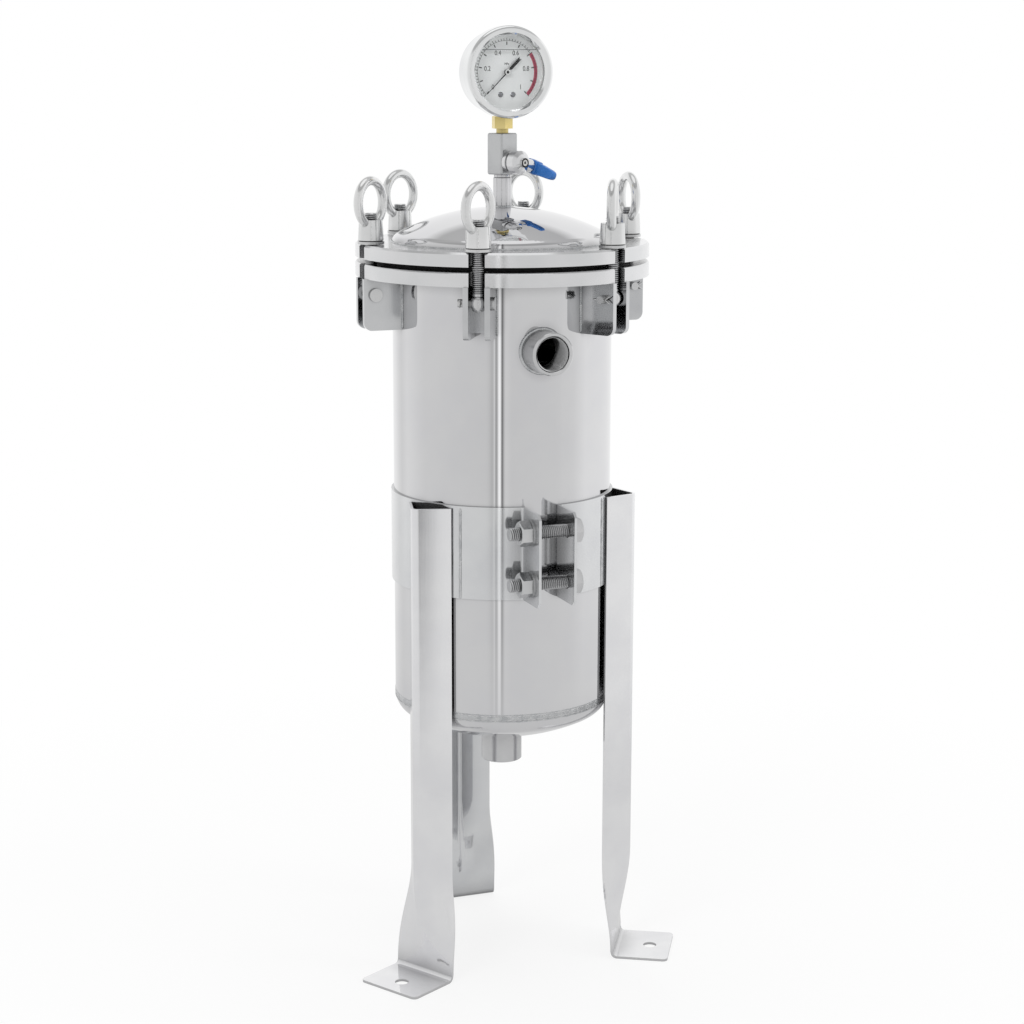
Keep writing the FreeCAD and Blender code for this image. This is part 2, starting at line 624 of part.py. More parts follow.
def support_strap():
    """Band round the shell, bent outward at the front into two drilled clamp ears."""
    body = new_body("support_strap")
    outer = "(shell_radius + strap_thick)"
    face = "(clamp_half + strap_thick)"
    root = f"sqrt({outer}^2 - {face}^2)"
    inner_root = "sqrt(shell_radius^2 - clamp_half^2)"
    plan = new_sketch(body, "Plan", "XY_Plane", offset="strap_under")
    outline(
        plan,
        [
            ("clamp_half", "-clamp_reach"),
            (face, "-clamp_reach"),
            (face, f"-{root}"),
            ("0", outer, outer, 1),
            (f"-{face}", f"-{root}", outer, 1),
            (f"-{face}", "-clamp_reach"),
            ("-clamp_half", "-clamp_reach"),
            ("-clamp_half", f"-{inner_root}"),
            ("0", "shell_radius", "shell_radius", -1),
            ("clamp_half", f"-{inner_root}", "shell_radius", -1),
        ],
    )
    band = extrude(body, "Pad", "Band", plan, "strap_height")
    doc.recompute()
    x, y = value(face), -value(root)
    bend = body.newObject("PartDesign::Fillet", "Bends")
    bend.Base = (band, upright_edges(band.Shape, [(x, y), (-x, y)]))
    bind(bend, Radius="clamp_bend")
    top = "(strap_under + strap_height)"
    corner = new_sketch(body, "CornerOutlines", "YZ_Plane", offset=f"-{face}")
    past, back = f"-clamp_reach - {MARGIN}", f"clamp_corner - clamp_reach + {MARGIN}"
    outline(
        corner,
        [
            (past, f"strap_under - {MARGIN}"),
            (back, f"strap_under - {MARGIN}"),
            (past, f"strap_under + clamp_corner + {MARGIN}"),
        ],
    )
    outline(
        corner,
        [
            (past, f"{top} + {MARGIN}"),
            (past, f"{top} - clamp_corner - {MARGIN}"),
            (back, f"{top} + {MARGIN}"),
        ],
    )
    extrude(body, "Pocket", "Corners", corner, f"2 * {face}", reverse=True)
    holes = new_sketch(body, "BoltCircles", "YZ_Plane", offset=f"-{face}")
    for height in clamp_spots():
        circles(holes, ("-clamp_axis", height, "bolt_radius + clamp_clearance"))
    extrude(body, "Pocket", "BoltHoles", holes, f"2 * {face}", reverse=True)


def hexagon(name, height):
    """Return an M10 hexagon along +Z, chamfered at its upper end."""
    prism = doc.addObject("Part::Prism", f"{name}Prism")
    prism.Polygon = 6
    bind(prism, Circumradius="hex_flats / sqrt(3)", Height=height)
    cone = doc.addObject("Part::Cone", f"{name}Chamfer")
    bind(cone, Radius1=f"hex_flats * 0.475 + 1.732 * {height}", Radius2="hex_flats * 0.475", Height=height)
    blank = doc.addObject("Part::Common", f"{name}Hexagon")
    blank.Base = prism
    blank.Tool = cone
    return blank


def clamp_spots():
    """Return the heights of the two clamp bolts."""
    return [f"strap_under + strap_height / 2 {side} clamp_spacing / 2" for side in ("+", "-")]


def along_clamp(item, offset, height, flip=False):
    """Lay an item on a clamp bolt's axis, its +Z towards -X, or +X if flipped."""
    item.Placement.Rotation = FreeCAD.Rotation(FreeCAD.Vector(0, 1, 0), 90 if flip else -90)
    bind(item, Placement__Base__x=offset, Placement__Base__y="-clamp_axis", Placement__Base__z=height)
    return item


def clamp_fasteners():
    """Two M10 bolts, with a washer under each head and nut."""
    face = "(clamp_half + strap_thick)"
    seat = f"({face} + washer_thick)"
    bolts, nuts, washers = [], [], []
    for height in clamp_spots():
        head = hexagon("Head", "head_thick")
        head.Placement.Rotation = FreeCAD.Rotation(FreeCAD.Vector(1, 0, 0), 180)
        shank = doc.addObject("Part::Cylinder", "ClampShank")
        bind(shank, Radius="bolt_radius", Height="clamp_length")
        bolt = doc.addObject("Part::MultiFuse", "ClampBolt")
        bolt.Shapes = [head, shank]
        bolts.append(along_clamp(bolt, seat, height))
        bore = doc.addObject("Part::Cylinder", "NutBore")
        bind(bore, Radius="bolt_radius + thread_clearance", Height="nut_thick")
        nut = doc.addObject("Part::Cut", "ClampNut")
        nut.Base = hexagon("Nut", "nut_thick")
        nut.Tool = bore
        nuts.append(along_clamp(nut, f"-{seat}", height))
        for side, flip in (("", True), ("-", False)):
            disc = doc.addObject("Part::Cylinder", "WasherDisc")
            bind(disc, Radius="washer_radius", Height="washer_thick")
            hole = doc.addObject("Part::Cylinder", "WasherHole")
            bind(hole, Radius="bolt_radius + thread_clearance", Height="washer_thick")
            ring = doc.addObject("Part::Cut", "ClampWasher")
            ring.Base = disc
            ring.Tool = hole
            washers.append(along_clamp(ring, f"{side}{face}", height, flip))
    group("strap_bolts", bolts)
    group("strap_nuts", nuts)
    group("strap_washers", washers)


def strip_section(opening, apex, height):
    """Return the closed outline of the bent strip: two flanges joined by a bend.

    opening is the angle between each flange and the flat strip, apex the outer face of the bend.
    """
    thick = value("strap_thick")
    bend = (value("leg_bend") + thick / 2) * math.pi / 2
    radius = bend / (2 * opening)
    flange_width = (value("strip_width") - bend) / 2
    middle = apex - thick / 2

    def corner(side, offset, reach):
        """Return a point of the outline on one side, off the middle surface by offset."""
        x = middle - radius * (1 - math.cos(opening)) - reach * math.sin(opening)
        y = radius * math.sin(opening) + reach * math.cos(opening)
        return FreeCAD.Vector(
            x + offset * math.cos(opening), side * (y + offset * math.sin(opening)), height
        )

    outer, inner = thick / 2, -thick / 2
    left_tip, left_bend = corner(-1, outer, flange_width), corner(-1, outer, 0)
    right_bend, right_tip = corner(1, outer, 0), corner(1, outer, flange_width)
    edges = [
        Part.LineSegment(left_tip, left_bend),
        Part.Arc(left_bend, FreeCAD.Vector(middle + outer, 0, height), right_bend),
        Part.LineSegment(right_bend, right_tip),
        Part.LineSegment(right_tip, corner(1, inner, flange_width)),
        Part.LineSegment(corner(1, inner, flange_width), corner(1, inner, 0)),
        Part.Arc(corner(1, inner, 0), FreeCAD.Vector(middle + inner, 0, height), corner(-1, inner, 0)),
        Part.LineSegment(corner(-1, inner, 0), corner(-1, inner, flange_width)),
        Part.LineSegment(corner(-1, inner, flange_width), left_tip),
    ]
    return Part.Wire([edge.toShape() for edge in edges])


def leg_apex():
    """Return where the bend of a leg stands when its flange tips rest on the strap."""
    thick = value("strap_thick")
    bend = (value("leg_bend") + thick / 2) * math.pi / 2
    radius = bend / (math.pi / 2)
    reach = (value("strip_width") - bend) / 2
    diagonal = math.sqrt(0.5)
    tip_y = radius * diagonal + (reach - thick / 2) * diagonal
    tip_x = math.sqrt((value("shell_radius") + thick) ** 2 - tip_y**2)
    return tip_x + thick / 2 + radius * (1 - diagonal) + (reach + thick / 2) * diagonal


def leg(label, bearing):
    """Leg of one bent strip: a right-angled section that opens out flat and turns into a foot."""
    thick = value("strap_thick")
    flat = value("foot_plane")
    knee = value("foot_bend") + thick
    flare, top, half = value("flare_height"), value("leg_top"), value("strip_width") / 2
    square = math.pi / 4
    almost_flat = math.radians(FLAT_OPENING)
    upright = Part.Face(strip_section(square, leg_apex(), flare))
    upright = upright.extrude(FreeCAD.Vector(0, 0, top - flare))
    sections = []
    for step in range(FLARE_SECTIONS):
        share = step / (FLARE_SECTIONS - 1)
        ease = share * share * (3 - 2 * share)
        opening = square + (almost_flat - square) * ease
        apex = leg_apex() + (flat - leg_apex()) * ease
        sections.append(strip_section(opening, apex, flare + (knee - flare) * share))
    flared = Part.makeLoft(sections, True, False)
    inner_arc, outer_arc = value("foot_bend"), knee
    centre = FreeCAD.Vector(flat + inner_arc, -half, knee)
    diagonal = math.sqrt(0.5)
    reach = value("foot_reach")

    def at(x, z):
        """Return a point of the foot's side outline."""
        return FreeCAD.Vector(x, -half, z)

    side = Part.Wire(
        [
            Part.LineSegment(at(flat - thick, knee), at(flat, knee)).toShape(),
            Part.Arc(
                at(flat, knee),
                at(centre.x - inner_arc * diagonal, knee - inner_arc * diagonal),
                at(centre.x, thick),
            ).toShape(),
            Part.LineSegment(at(centre.x, thick), at(reach, thick)).toShape(),
            Part.LineSegment(at(reach, thick), at(reach, 0)).toShape(),
            Part.LineSegment(at(reach, 0), at(centre.x, 0)).toShape(),
            Part.Arc(
                at(centre.x, 0),
                at(centre.x - outer_arc * diagonal, knee - outer_arc * diagonal),
                at(flat - thick, knee),
            ).toShape(),
        ]
    )
    foot = Part.Face(side).extrude(FreeCAD.Vector(0, 2 * half, 0))
    tips = [
        edge
        for edge in foot.Edges
        if all(abs(vertex.X - reach) < 1e-6 for vertex in edge.Vertexes)
        and abs(edge.Vertexes[0].Y - edge.Vertexes[-1].Y) < 1e-6
    ]
    foot = foot.makeFillet(value("foot_corner"), tips)
    hole = Part.makeCylinder(value("foot_hole"), 2 * thick, FreeCAD.Vector(value("foot_circle"), 0, -thick / 2))
    item = doc.addObject("Part::Feature", label)
    item.Shape = upright.fuse([flared, foot]).cut(hole)
    item.Placement = FreeCAD.Placement(FreeCAD.Vector(), about_axis(bearing))
    keep(item, label)


def interior():
    """Basket seat, perforated basket, and the bag with its ring."""
    rim = "(seat_height + rim_thick)"
    turned(
        "basket_seat_ring",
        box_points("basket_radius + seat_clearance", "seat_height - seat_thick", SHELL_BORE, "seat_height"),
    )
    floor = "(seat_height - basket_depth)"
    round_out, round_in = "2 * basket_wall", "basket_wall"
    inner = "(basket_radius - basket_wall)"
    basket = turned(
        "filter_basket",
        [
            ("0", floor),
            (f"basket_radius - {round_out}", floor),
            ("basket_radius", f"{floor} + {round_out}", round_out, 1),
            ("basket_radius", "seat_height"),
            ("basket_rim", "seat_height"),
            ("basket_rim", rim),
            (inner, rim),
            (inner, f"{floor} + {round_out}"),
            (f"basket_radius - {round_out}", f"{floor} + basket_wall", round_in, -1),
            ("0", f"{floor} + basket_wall"),
        ],
    )
    rows = max(1, math.floor((value("basket_depth") - value("hole_margin")) / value("hole_pitch")))
    column = new_sketch(basket, "Column", "YZ_Plane")
    half = "hole_side / 2"
    for row in range(rows):
        middle = f"(seat_height - hole_margin - {row} * hole_pitch)"
        outline(column, box_points(f"-{half}", f"{middle} - {half}", half, f"{middle} + {half}"))
    cut = extrude(basket, "Pocket", "Perforations", column, "basket_rim", reverse=True)
    polar(basket, "Columns", [cut], BASKET_COLUMNS)
    turned(
        "bag_ring",
        box_points("bag_radius - bag_felt", rim, "bag_radius + ring_width", f"{rim} + ring_thick"),
    )
    bottom = f"({rim} - bag_length)"
    turned(
        "filter_bag",
        [
            ("0", bottom),
            ("bag_radius - bag_round", bottom),
            ("bag_radius", f"{bottom} + bag_round", "bag_round", 1),
            ("bag_radius", rim),
            ("bag_radius - bag_felt", rim),
            ("bag_radius - bag_felt", f"{bottom} + bag_round"),
            ("bag_radius - bag_round", f"{bottom} + bag_felt", "bag_round - bag_felt", -1),
            ("0", f"{bottom} + bag_felt"),
        ],
    )


BLOCK_UNDER = f"({LID_CROWN} + nipple_rise)"
BLOCK_TOP = f"({BLOCK_UNDER} + block_height)"
GAUGE = f"({BLOCK_TOP} + stem_gap + stem_hex + case_radius)"
VENT = f"({BLOCK_UNDER} + vent_lift)"
THREAD = "(nipple_radius - thread_turn)"
BOSS = "(stem_flats / 2 - 2)"


def lid_pipe():
    """Nipple welded in the crown of the lid and screwed into the tee block."""
    turned(
        "nipple",
        [
            ("nipple_bore", f"{LID_CROWN} - nipple_root"),
            ("nipple_radius", f"{LID_CROWN} - nipple_root"),
            ("nipple_radius", f"{BLOCK_UNDER} - 2.4"),
            (THREAD, f"{BLOCK_UNDER} - 1.8"),
            (THREAD, f"{BLOCK_UNDER} + pipe_screw_in"),
            ("nipple_bore", f"{BLOCK_UNDER} + pipe_screw_in"),
        ],
    )


def tee_block():
    """Square block with rounded edges, bored for the pipe, the gauge and the vent."""
    body = new_body("tee_block")
    half = "block_side / 2"
    square = new_sketch(body, "Square", "XY_Plane", offset=BLOCK_UNDER)
    outline(square, box_points(f"-{half}", f"-{half}", half, half))
    blank = extrude(body, "Pad", "Blank", square, "block_height")
    doc.recompute()
    edges = body.newObject("PartDesign::Fillet", "Edges")
    edges.Base = (blank, [f"Edge{index}" for index in range(1, len(blank.Shape.Edges) + 1)])
    bind(edges, Radius="block_edge")
    lower = new_sketch(body, "PipeCircle", "XY_Plane", offset=BLOCK_UNDER)
    circles(lower, ("0", "0", THREAD))
    extrude(body, "Pocket", "PipeBore", lower, "pipe_screw_in", reverse=True)
    upper = new_sketch(body, "StemCircle", "XY_Plane", offset=BLOCK_UNDER)
    circles(upper, ("0", "0", "stem_radius"))
    extrude(body, "Pocket", "StemBore", upper, "block_height", reverse=True)
    side = new_sketch(body, "VentCircle", "YZ_Plane")
    circles(side, ("0", VENT, "vent_neck"))
    extrude(body, "Pocket", "VentBore", side, "block_side", reverse=True)
    body.Placement.Rotation = about_axis(value("vent_bearing"))


def gauge_stem():
    """Brass stem of the gauge: thread, hexagon and the boss that enters the case."""
    top = f"({BLOCK_TOP} + stem_gap + stem_hex)"
    low = f"({BLOCK_TOP} - screw_in)"
    body = turned(
        "gauge_stem",
        [
            ("stem_radius / 3", low),
            ("stem_radius", low),
            ("stem_radius", f"{BLOCK_TOP} + stem_gap"),
            (BOSS, f"{BLOCK_TOP} + stem_gap"),
            (BOSS, f"{top} + screw_in / 2"),
            ("stem_radius / 3", f"{top} + screw_in / 2"),
        ],
    )
    nut = new_sketch(body, "Hexagon", "XY_Plane", offset=f"{BLOCK_TOP} + stem_gap")
    corner, side = "stem_flats / sqrt(3)", "stem_flats / 2"
    outline(
        nut,
        [
            (corner, "0"),
            (f"{corner} / 2", side),
            (f"-{corner} / 2", side),
            (f"-{corner}", "0"),
            (f"-{corner} / 2", f"-{side}"),
            (f"{corner} / 2", f"-{side}"),
        ],
    )
    circles(nut, ("0", "0", "stem_radius"))
    extrude(body, "Pad", "Flats", nut, "stem_hex")
    body.Placement.Rotation = about_axis(GAUGE_TURN)


FACING = FreeCAD.Rotation(FreeCAD.Vector(1, 0, 0), 90)


def face_front(body, spin=0.0):
    """Turn a body made along its own +Z to face the front at the middle of the gauge."""
    body.Placement.Rotation = FACING.multiply(FreeCAD.Rotation(FreeCAD.Vector(0, 0, 1), spin))
    bind(body, Placement__Base__z=GAUGE)
    return body


def gauge():
    """Gauge: case, rolled bezel, lens, dial, movement and pointer, all facing the inlet side."""
    bore = "(case_radius - case_wall)"
    case = turned(
        "gauge_case",
        [
            ("0", "-case_back"),
            ("case_radius - case_round", "-case_back"),
            ("case_radius", "case_round - case_back", "case_round", 1),
            ("case_radius", "case_front"),
            (bore, "case_front"),
            (bore, "case_round - case_back"),
            ("case_radius - case_round", "case_wall - case_back", "case_round - case_wall", -1),
            ("0", "case_wall - case_back"),
        ],
    )
    hole = new_sketch(case, "StemCircle", "XZ_Plane")
    circles(hole, ("0", "0", BOSS))
    extrude(case, "Pocket", "StemHole", hole, "2 * case_radius", reverse=True)
    face_front(case)
    lip = "(case_front + lens_thick)"
    back = "(stem_flats / sqrt(3) + bezel_clearance)"
    bezel = turned(
        "gauge_bezel",
        [
            ("case_radius", back),
            ("bezel_radius", back),
            ("bezel_radius", "bezel_front - bezel_round"),
            ("bezel_radius - bezel_round", "bezel_front", "bezel_round", 1),
            ("bezel_opening + 1.4", "bezel_front - 0.5"),
            ("bezel_opening", f"{lip} + 1.2"),
            ("bezel_opening", lip),
            ("case_radius", lip),
        ],
    )
    face_front(bezel)
    face_front(turned("gauge_lens", box_points("0", "case_front", "case_radius", lip)))
    hub_hole = "2 * spindle_radius"
    face_front(turned("gauge_dial", box_points(hub_hole, "dial_front - dial_thick", bore, "dial_front")))
    movement = new_body("gauge_movement")
    plate = new_sketch(movement, "Plate", "XY_Plane", offset="-case_back / 2")
    foot = "(screw_in / 2 - case_radius)"
    wide = "(stem_flats / 2 + 2)"
    outline(plate, box_points(f"-{wide}", foot, wide, "hub_radius * 4"))
    extrude(movement, "Pad", "Frame", plate, "case_back / 2 + dial_front - dial_thick")
    pivot = new_sketch(movement, "PivotCircle", "XY_Plane", offset="-case_back / 2")
    circles(pivot, ("0", "0", "spindle_radius + spindle_clearance"))
    extrude(movement, "Pocket", "Pivot", pivot, "case_back + dial_front", reverse=True)
    face_front(movement)


def gauge_needle():
    """Pointer with a split counterweight tail, a hub and a spindle that runs in the movement."""
    body = new_body("gauge_needle")
    behind = "(dial_front + needle_gap)"
    spindle = new_sketch(body, "SpindleCircle", "XY_Plane", offset="-case_back / 4")
    circles(spindle, ("0", "0", "spindle_radius"))
    extrude(body, "Pad", "Spindle", spindle, f"case_back / 4 + {behind}")
    pointer = new_sketch(body, "Pointer", "XY_Plane", offset=behind)
    tip, root = "needle_width / 6", "needle_width / 2"
    outline(
        pointer,
        [
            ("needle_length", f"-{tip}"),
            ("needle_length", tip),
            ("0", root),
            ("-hub_radius", root),
            ("-hub_radius - 2", "2.4 * needle_width / 2"),
            ("-needle_tail", "2.6 * needle_width / 2"),
            ("-needle_tail + 1", "0"),
            ("-needle_tail", "-2.6 * needle_width / 2"),
            ("-hub_radius - 2", "-2.4 * needle_width / 2"),
            ("-hub_radius", f"-{root}"),
            ("0", f"-{root}"),
        ],
    )
    extrude(body, "Pad", "Plate", pointer, "needle_thick")
    hub = new_sketch(body, "HubCircle", "XY_Plane", offset=behind)
    circles(hub, ("0", "0", "hub_radius"))
    extrude(body, "Pad", "Hub", hub, "2 * needle_thick")
    face_front(body, value("needle_zero"))


def face_vent(body, spin=0.0):
    """Place a vent piece, made with the flow along +X and the stem along +Z."""
    roll = FreeCAD.Rotation(FreeCAD.Vector(1, 0, 0), -90 - value("vent_roll"))
    turn = about_axis(value("vent_bearing"))
    body.Placement.Rotation = turn.multiply(roll).multiply(FreeCAD.Rotation(FreeCAD.Vector(0, 0, 1), spin))
    bind(body, Placement__Base__z=VENT)


def vent_body():
    """Turned body of the vent valve with its passage, ball seat and bonnet."""
    body = new_body("valve_body")
    face = "(block_side / 2)"
    seat = "(vent_ball + ball_clearance)"
    reach = f"sqrt({seat}^2 - vent_bore^2)"
    nose = "(vent_neck - 1.2)"
    profile = new_sketch(body, "Profile", "XY_Plane")
    outline(
        profile,
        [
            (f"{face} - vent_screw_in", "vent_bore"),
            (f"vent_middle - {reach}", "vent_bore"),
            (f"vent_middle + {reach}", "vent_bore", seat, -1),
            ("vent_end", "vent_bore"),
            ("vent_end", nose),
            ("vent_end - 2", nose),
            ("vent_end - 3", "vent_body - 2.5"),
            ("vent_end - 5", "vent_body"),
            (f"{face} + 5.8", "vent_body"),
            (f"{face} + 4.8", "vent_waist"),
            (f"{face} + 3.9", "vent_waist"),
            (f"{face} + 3.2", "vent_collar"),
            (face, "vent_collar"),
            (face, "vent_neck"),
            (f"{face} - vent_screw_in", "vent_neck"),
        ],
    )
    revolve(body, "Turned", profile, axis="H_Axis")
    bonnet = new_sketch(body, "BonnetCircle", "XY_Plane", offset="(vent_ball + vent_body) / 2")
    circles(bonnet, ("vent_middle", "0", "bonnet_radius"))
    extrude(body, "Pad", "Bonnet", bonnet, "bonnet_length - (vent_ball + vent_body) / 2")
    bore = new_sketch(body, "StemCircle", "XY_Plane")
    circles(bore, ("vent_middle", "0", "spool_radius + spool_clearance"))
    extrude(body, "Pocket", "StemBore", bore, "bonnet_length", reverse=True)
    face_vent(body)


def vent_ball():
    """Bored ball with a socket for the stem."""
    body = new_body("valve_ball")
    ball = body.newObject("PartDesign::AdditiveSphere", "Ball")
    ball.AttachmentSupport = [(origin_part(body, "XY_Plane"), "")]
    ball.MapMode = "FlatFace"
    bind(ball, Radius="vent_ball")
    passage = new_sketch(body, "Passage", "YZ_Plane", offset=f"-vent_ball - {MARGIN}")
    circles(passage, ("0", "0", "vent_bore"))
    extrude(body, "Pocket", "Bore", passage, f"2 * (vent_ball + {MARGIN})", reverse=True)
    socket = new_sketch(body, "StemCircle", "XY_Plane", offset="ball_slot")
    circles(socket, ("0", "0", "spool_radius"))
    extrude(body, "Pocket", "Socket", socket, "vent_ball", reverse=True)
    return body


def vent_stem():
    """Round stem from the ball to the lever."""
    body = new_body("valve_stem")
    circle = new_sketch(body, "Circle", "XY_Plane", offset="ball_slot")
    circles(circle, ("0", "0", "spool_radius"))
    extrude(body, "Pad", "Stem", circle, "bonnet_length + lever_gap + lever_thick / 2 - ball_slot")
    return body


def vent_lever():
    """Plastic lever: a round hub on the stem and a tapered arm with a thumb groove."""
    body = new_body("valve_handle")
    base = "(bonnet_length + lever_gap)"
    hub = new_sketch(body, "HubCircle", "XY_Plane", offset=base)
    circles(hub, ("0", "0", "lever_hub"))
    extrude(body, "Pad", "Hub", hub, "lever_thick")
    arm = new_sketch(body, "ArmOutline", "XY_Plane", offset=f"{base} + lever_thick / 6")
    wide, narrow = "lever_width / 2", "lever_tip / 2"
    outline(
        arm,
        [
            ("0", f"-{wide}"),
            ("lever_hub + 1", f"-{wide}"),
            (f"lever_length - {narrow}", f"-{narrow}"),
            ("lever_length", "0", narrow, 1),
            (f"lever_length - {narrow}", narrow, narrow, 1),
            ("lever_hub + 1", wide),
            ("0", wide),
        ],
    )
    extrude(body, "Pad", "Arm", arm, "lever_thick * 2 / 3")
    socket = new_sketch(body, "StemCircle", "XY_Plane", offset=base)
    circles(socket, ("0", "0", "spool_radius"))
    extrude(body, "Pocket", "StemSocket", socket, "lever_thick / 2", reverse=True)
    return body


def on_vent_stem(body, spin):
    """Move a piece from its own +Z axis to the axis of the vent stem."""
    face_vent(body, spin)
    angle = math.radians(value("vent_bearing"))
    bind(
        body,
        Placement__Base__x=f"vent_middle * {math.sin(angle):.9f}",
        Placement__Base__y=f"vent_middle * {-math.cos(angle):.9f}",
    )


vessel_shell()
dished("bottom_dish", "dish_knuckle", "dish_crown", "(seam_height - dish_skirt)", "dish_skirt", "socket_radius", -1)
slotted_flange("body_flange", "flange_under", "flange_edge")
turned("flange_gasket", box_points("shell_radius", FLANGE_TOP, "gasket_radius", LID_UNDER))
forward = FreeCAD.Rotation(FreeCAD.Vector(1, 0, 0), 90)
pipe_socket("inlet_socket", "inlet_root", "inlet_reach", forward, Placement__Base__z="inlet_height")
downward = FreeCAD.Rotation(FreeCAD.Vector(1, 0, 0), 180)
pipe_socket("outlet_socket", "0", "outlet_length", downward, Placement__Base__z="outlet_under + outlet_length")
for number, bearing in enumerate(BOLT_BEARINGS, start=1):
    hinge_lug(f"hinge_lug_{number}", bearing)
hinge_pins()
split_pins()
for number, (bearing, eye_bearing) in enumerate(zip(BOLT_BEARINGS, EYE_BEARINGS), start=1):
    swing_bolt(f"swing_bolt_{number}", bearing)
    washer(f"washer_{number}", bearing)
    eye_nut(f"eye_nut_{number}", bearing, eye_bearing)
support_strap()
clamp_fasteners()
for label, bearing in LEG_BEARINGS.items():
    leg(label, bearing)
slotted_flange("lid_flange", LID_UNDER, "swing_edge")
lid_skirt = f"({LID_BASE} - {LID_UNDER} - shell_recess)"
dished("lid_dome", "lid_knuckle", "lid_crown", LID_BASE, lid_skirt, "nipple_radius", 1)
lid_pipe()
tee_block()
gauge_stem()
gauge()
gauge_needle()
vent_body()
on_vent_stem(vent_ball(), 0.0)
on_vent_stem(vent_stem(), 0.0)
on_vent_stem(vent_lever(), value("lever_angle"))
interior()
doc.recompute()

for item in doc.Objects:
    if "Invalid" in item.State or "Error" in item.State:
        raise RuntimeError(f"{item.Name} failed: {item.State}")
for item in parts:
    if item.Shape.isNull() or not item.Shape.isValid():
        raise RuntimeError(f"{item.Label} has no valid shape")

os.makedirs("parts", exist_ok=True)
for item in parts:
    item.Shape.exportStep(f"parts/{item.Label}.step")
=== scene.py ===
"""Looks of the bag filter housing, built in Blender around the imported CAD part.

The finishes and the studio come first, then one class for each sub-assembly.
Row frame, in metres: +Z up, the inlet towards -Y. A bearing is counted about +Z from -Y towards +X.
"""

from __future__ import annotations

import logging
import math
from collections.abc import Callable, Iterable, Sequence
from dataclasses import dataclass, replace
from enum import Enum
from functools import reduce
from random import Random

import bmesh
import bpy
from mathutils import Matrix, Vector

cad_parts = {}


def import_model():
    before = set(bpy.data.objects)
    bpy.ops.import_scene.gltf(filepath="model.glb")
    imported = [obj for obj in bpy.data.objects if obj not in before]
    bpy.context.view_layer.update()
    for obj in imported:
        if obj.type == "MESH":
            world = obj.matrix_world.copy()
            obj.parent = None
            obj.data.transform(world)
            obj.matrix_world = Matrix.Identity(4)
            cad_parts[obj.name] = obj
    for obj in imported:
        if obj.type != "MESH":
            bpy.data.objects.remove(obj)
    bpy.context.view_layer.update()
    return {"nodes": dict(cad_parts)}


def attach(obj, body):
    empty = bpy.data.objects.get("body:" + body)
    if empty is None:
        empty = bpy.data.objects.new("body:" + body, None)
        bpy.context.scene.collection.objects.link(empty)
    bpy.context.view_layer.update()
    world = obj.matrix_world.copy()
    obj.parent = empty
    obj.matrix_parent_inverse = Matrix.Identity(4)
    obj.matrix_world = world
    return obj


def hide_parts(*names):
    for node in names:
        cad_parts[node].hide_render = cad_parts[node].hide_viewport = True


Mesh = bmesh.types.BMesh
Nodes = dict[str, bpy.types.Object]
Socket = bpy.types.NodeSocket
Outline = Sequence[tuple[float, float]]
Line = Callable[[float], Matrix]

LOG = logging.getLogger("bag_filter_housing")
MM = 0.001
FULL_TURN = 2 * math.pi
WHITE = "FFFFFF"
UP = Vector((0, 0, 1))
# Small round forms stay smooth across edges of up to this angle.
ROUND_FORM = 80.0
# Takes +Z, the axis of a turned mesh, to the front.
TO_FRONT = Matrix.Rotation(math.pi / 2, 4, "X")

# Heights and radii that several sub-assemblies share, in millimetres as in part.py.
SHELL_RADIUS = 84.15
FLANGE_UNDER = 539.5
LID_TOP = 564.4
BOLT_CIRCLE = 104.7
BOLT_BEARINGS = (-90.0, -30.0, 30.0, 90.0, 150.0, -150.0)
STRAP_UNDER = 303.2
GAUGE_HEIGHT = 690.65
# The M10 thread of swing bolts and clamp bolts.
THREAD_RADIUS = 5.0
THREAD_ROOT = 4.15
THREAD_PITCH = 1.5


# ---------------------------------------------------------------- materials


def linear(colour: str) -> tuple[float, float, float, float]:
    """Turn an sRGB hex colour into linear light.

    Args:
        colour: Six hex digits.

    Returns:
        The colour for a shader socket, opaque.
    """
    parts = [int(colour[i : i + 2], 16) / 255 for i in (0, 2, 4)]
    light = [p / 12.92 if p <= 0.04045 else ((p + 0.055) / 1.055) ** 2.4 for p in parts]
    return (*light, 1.0)


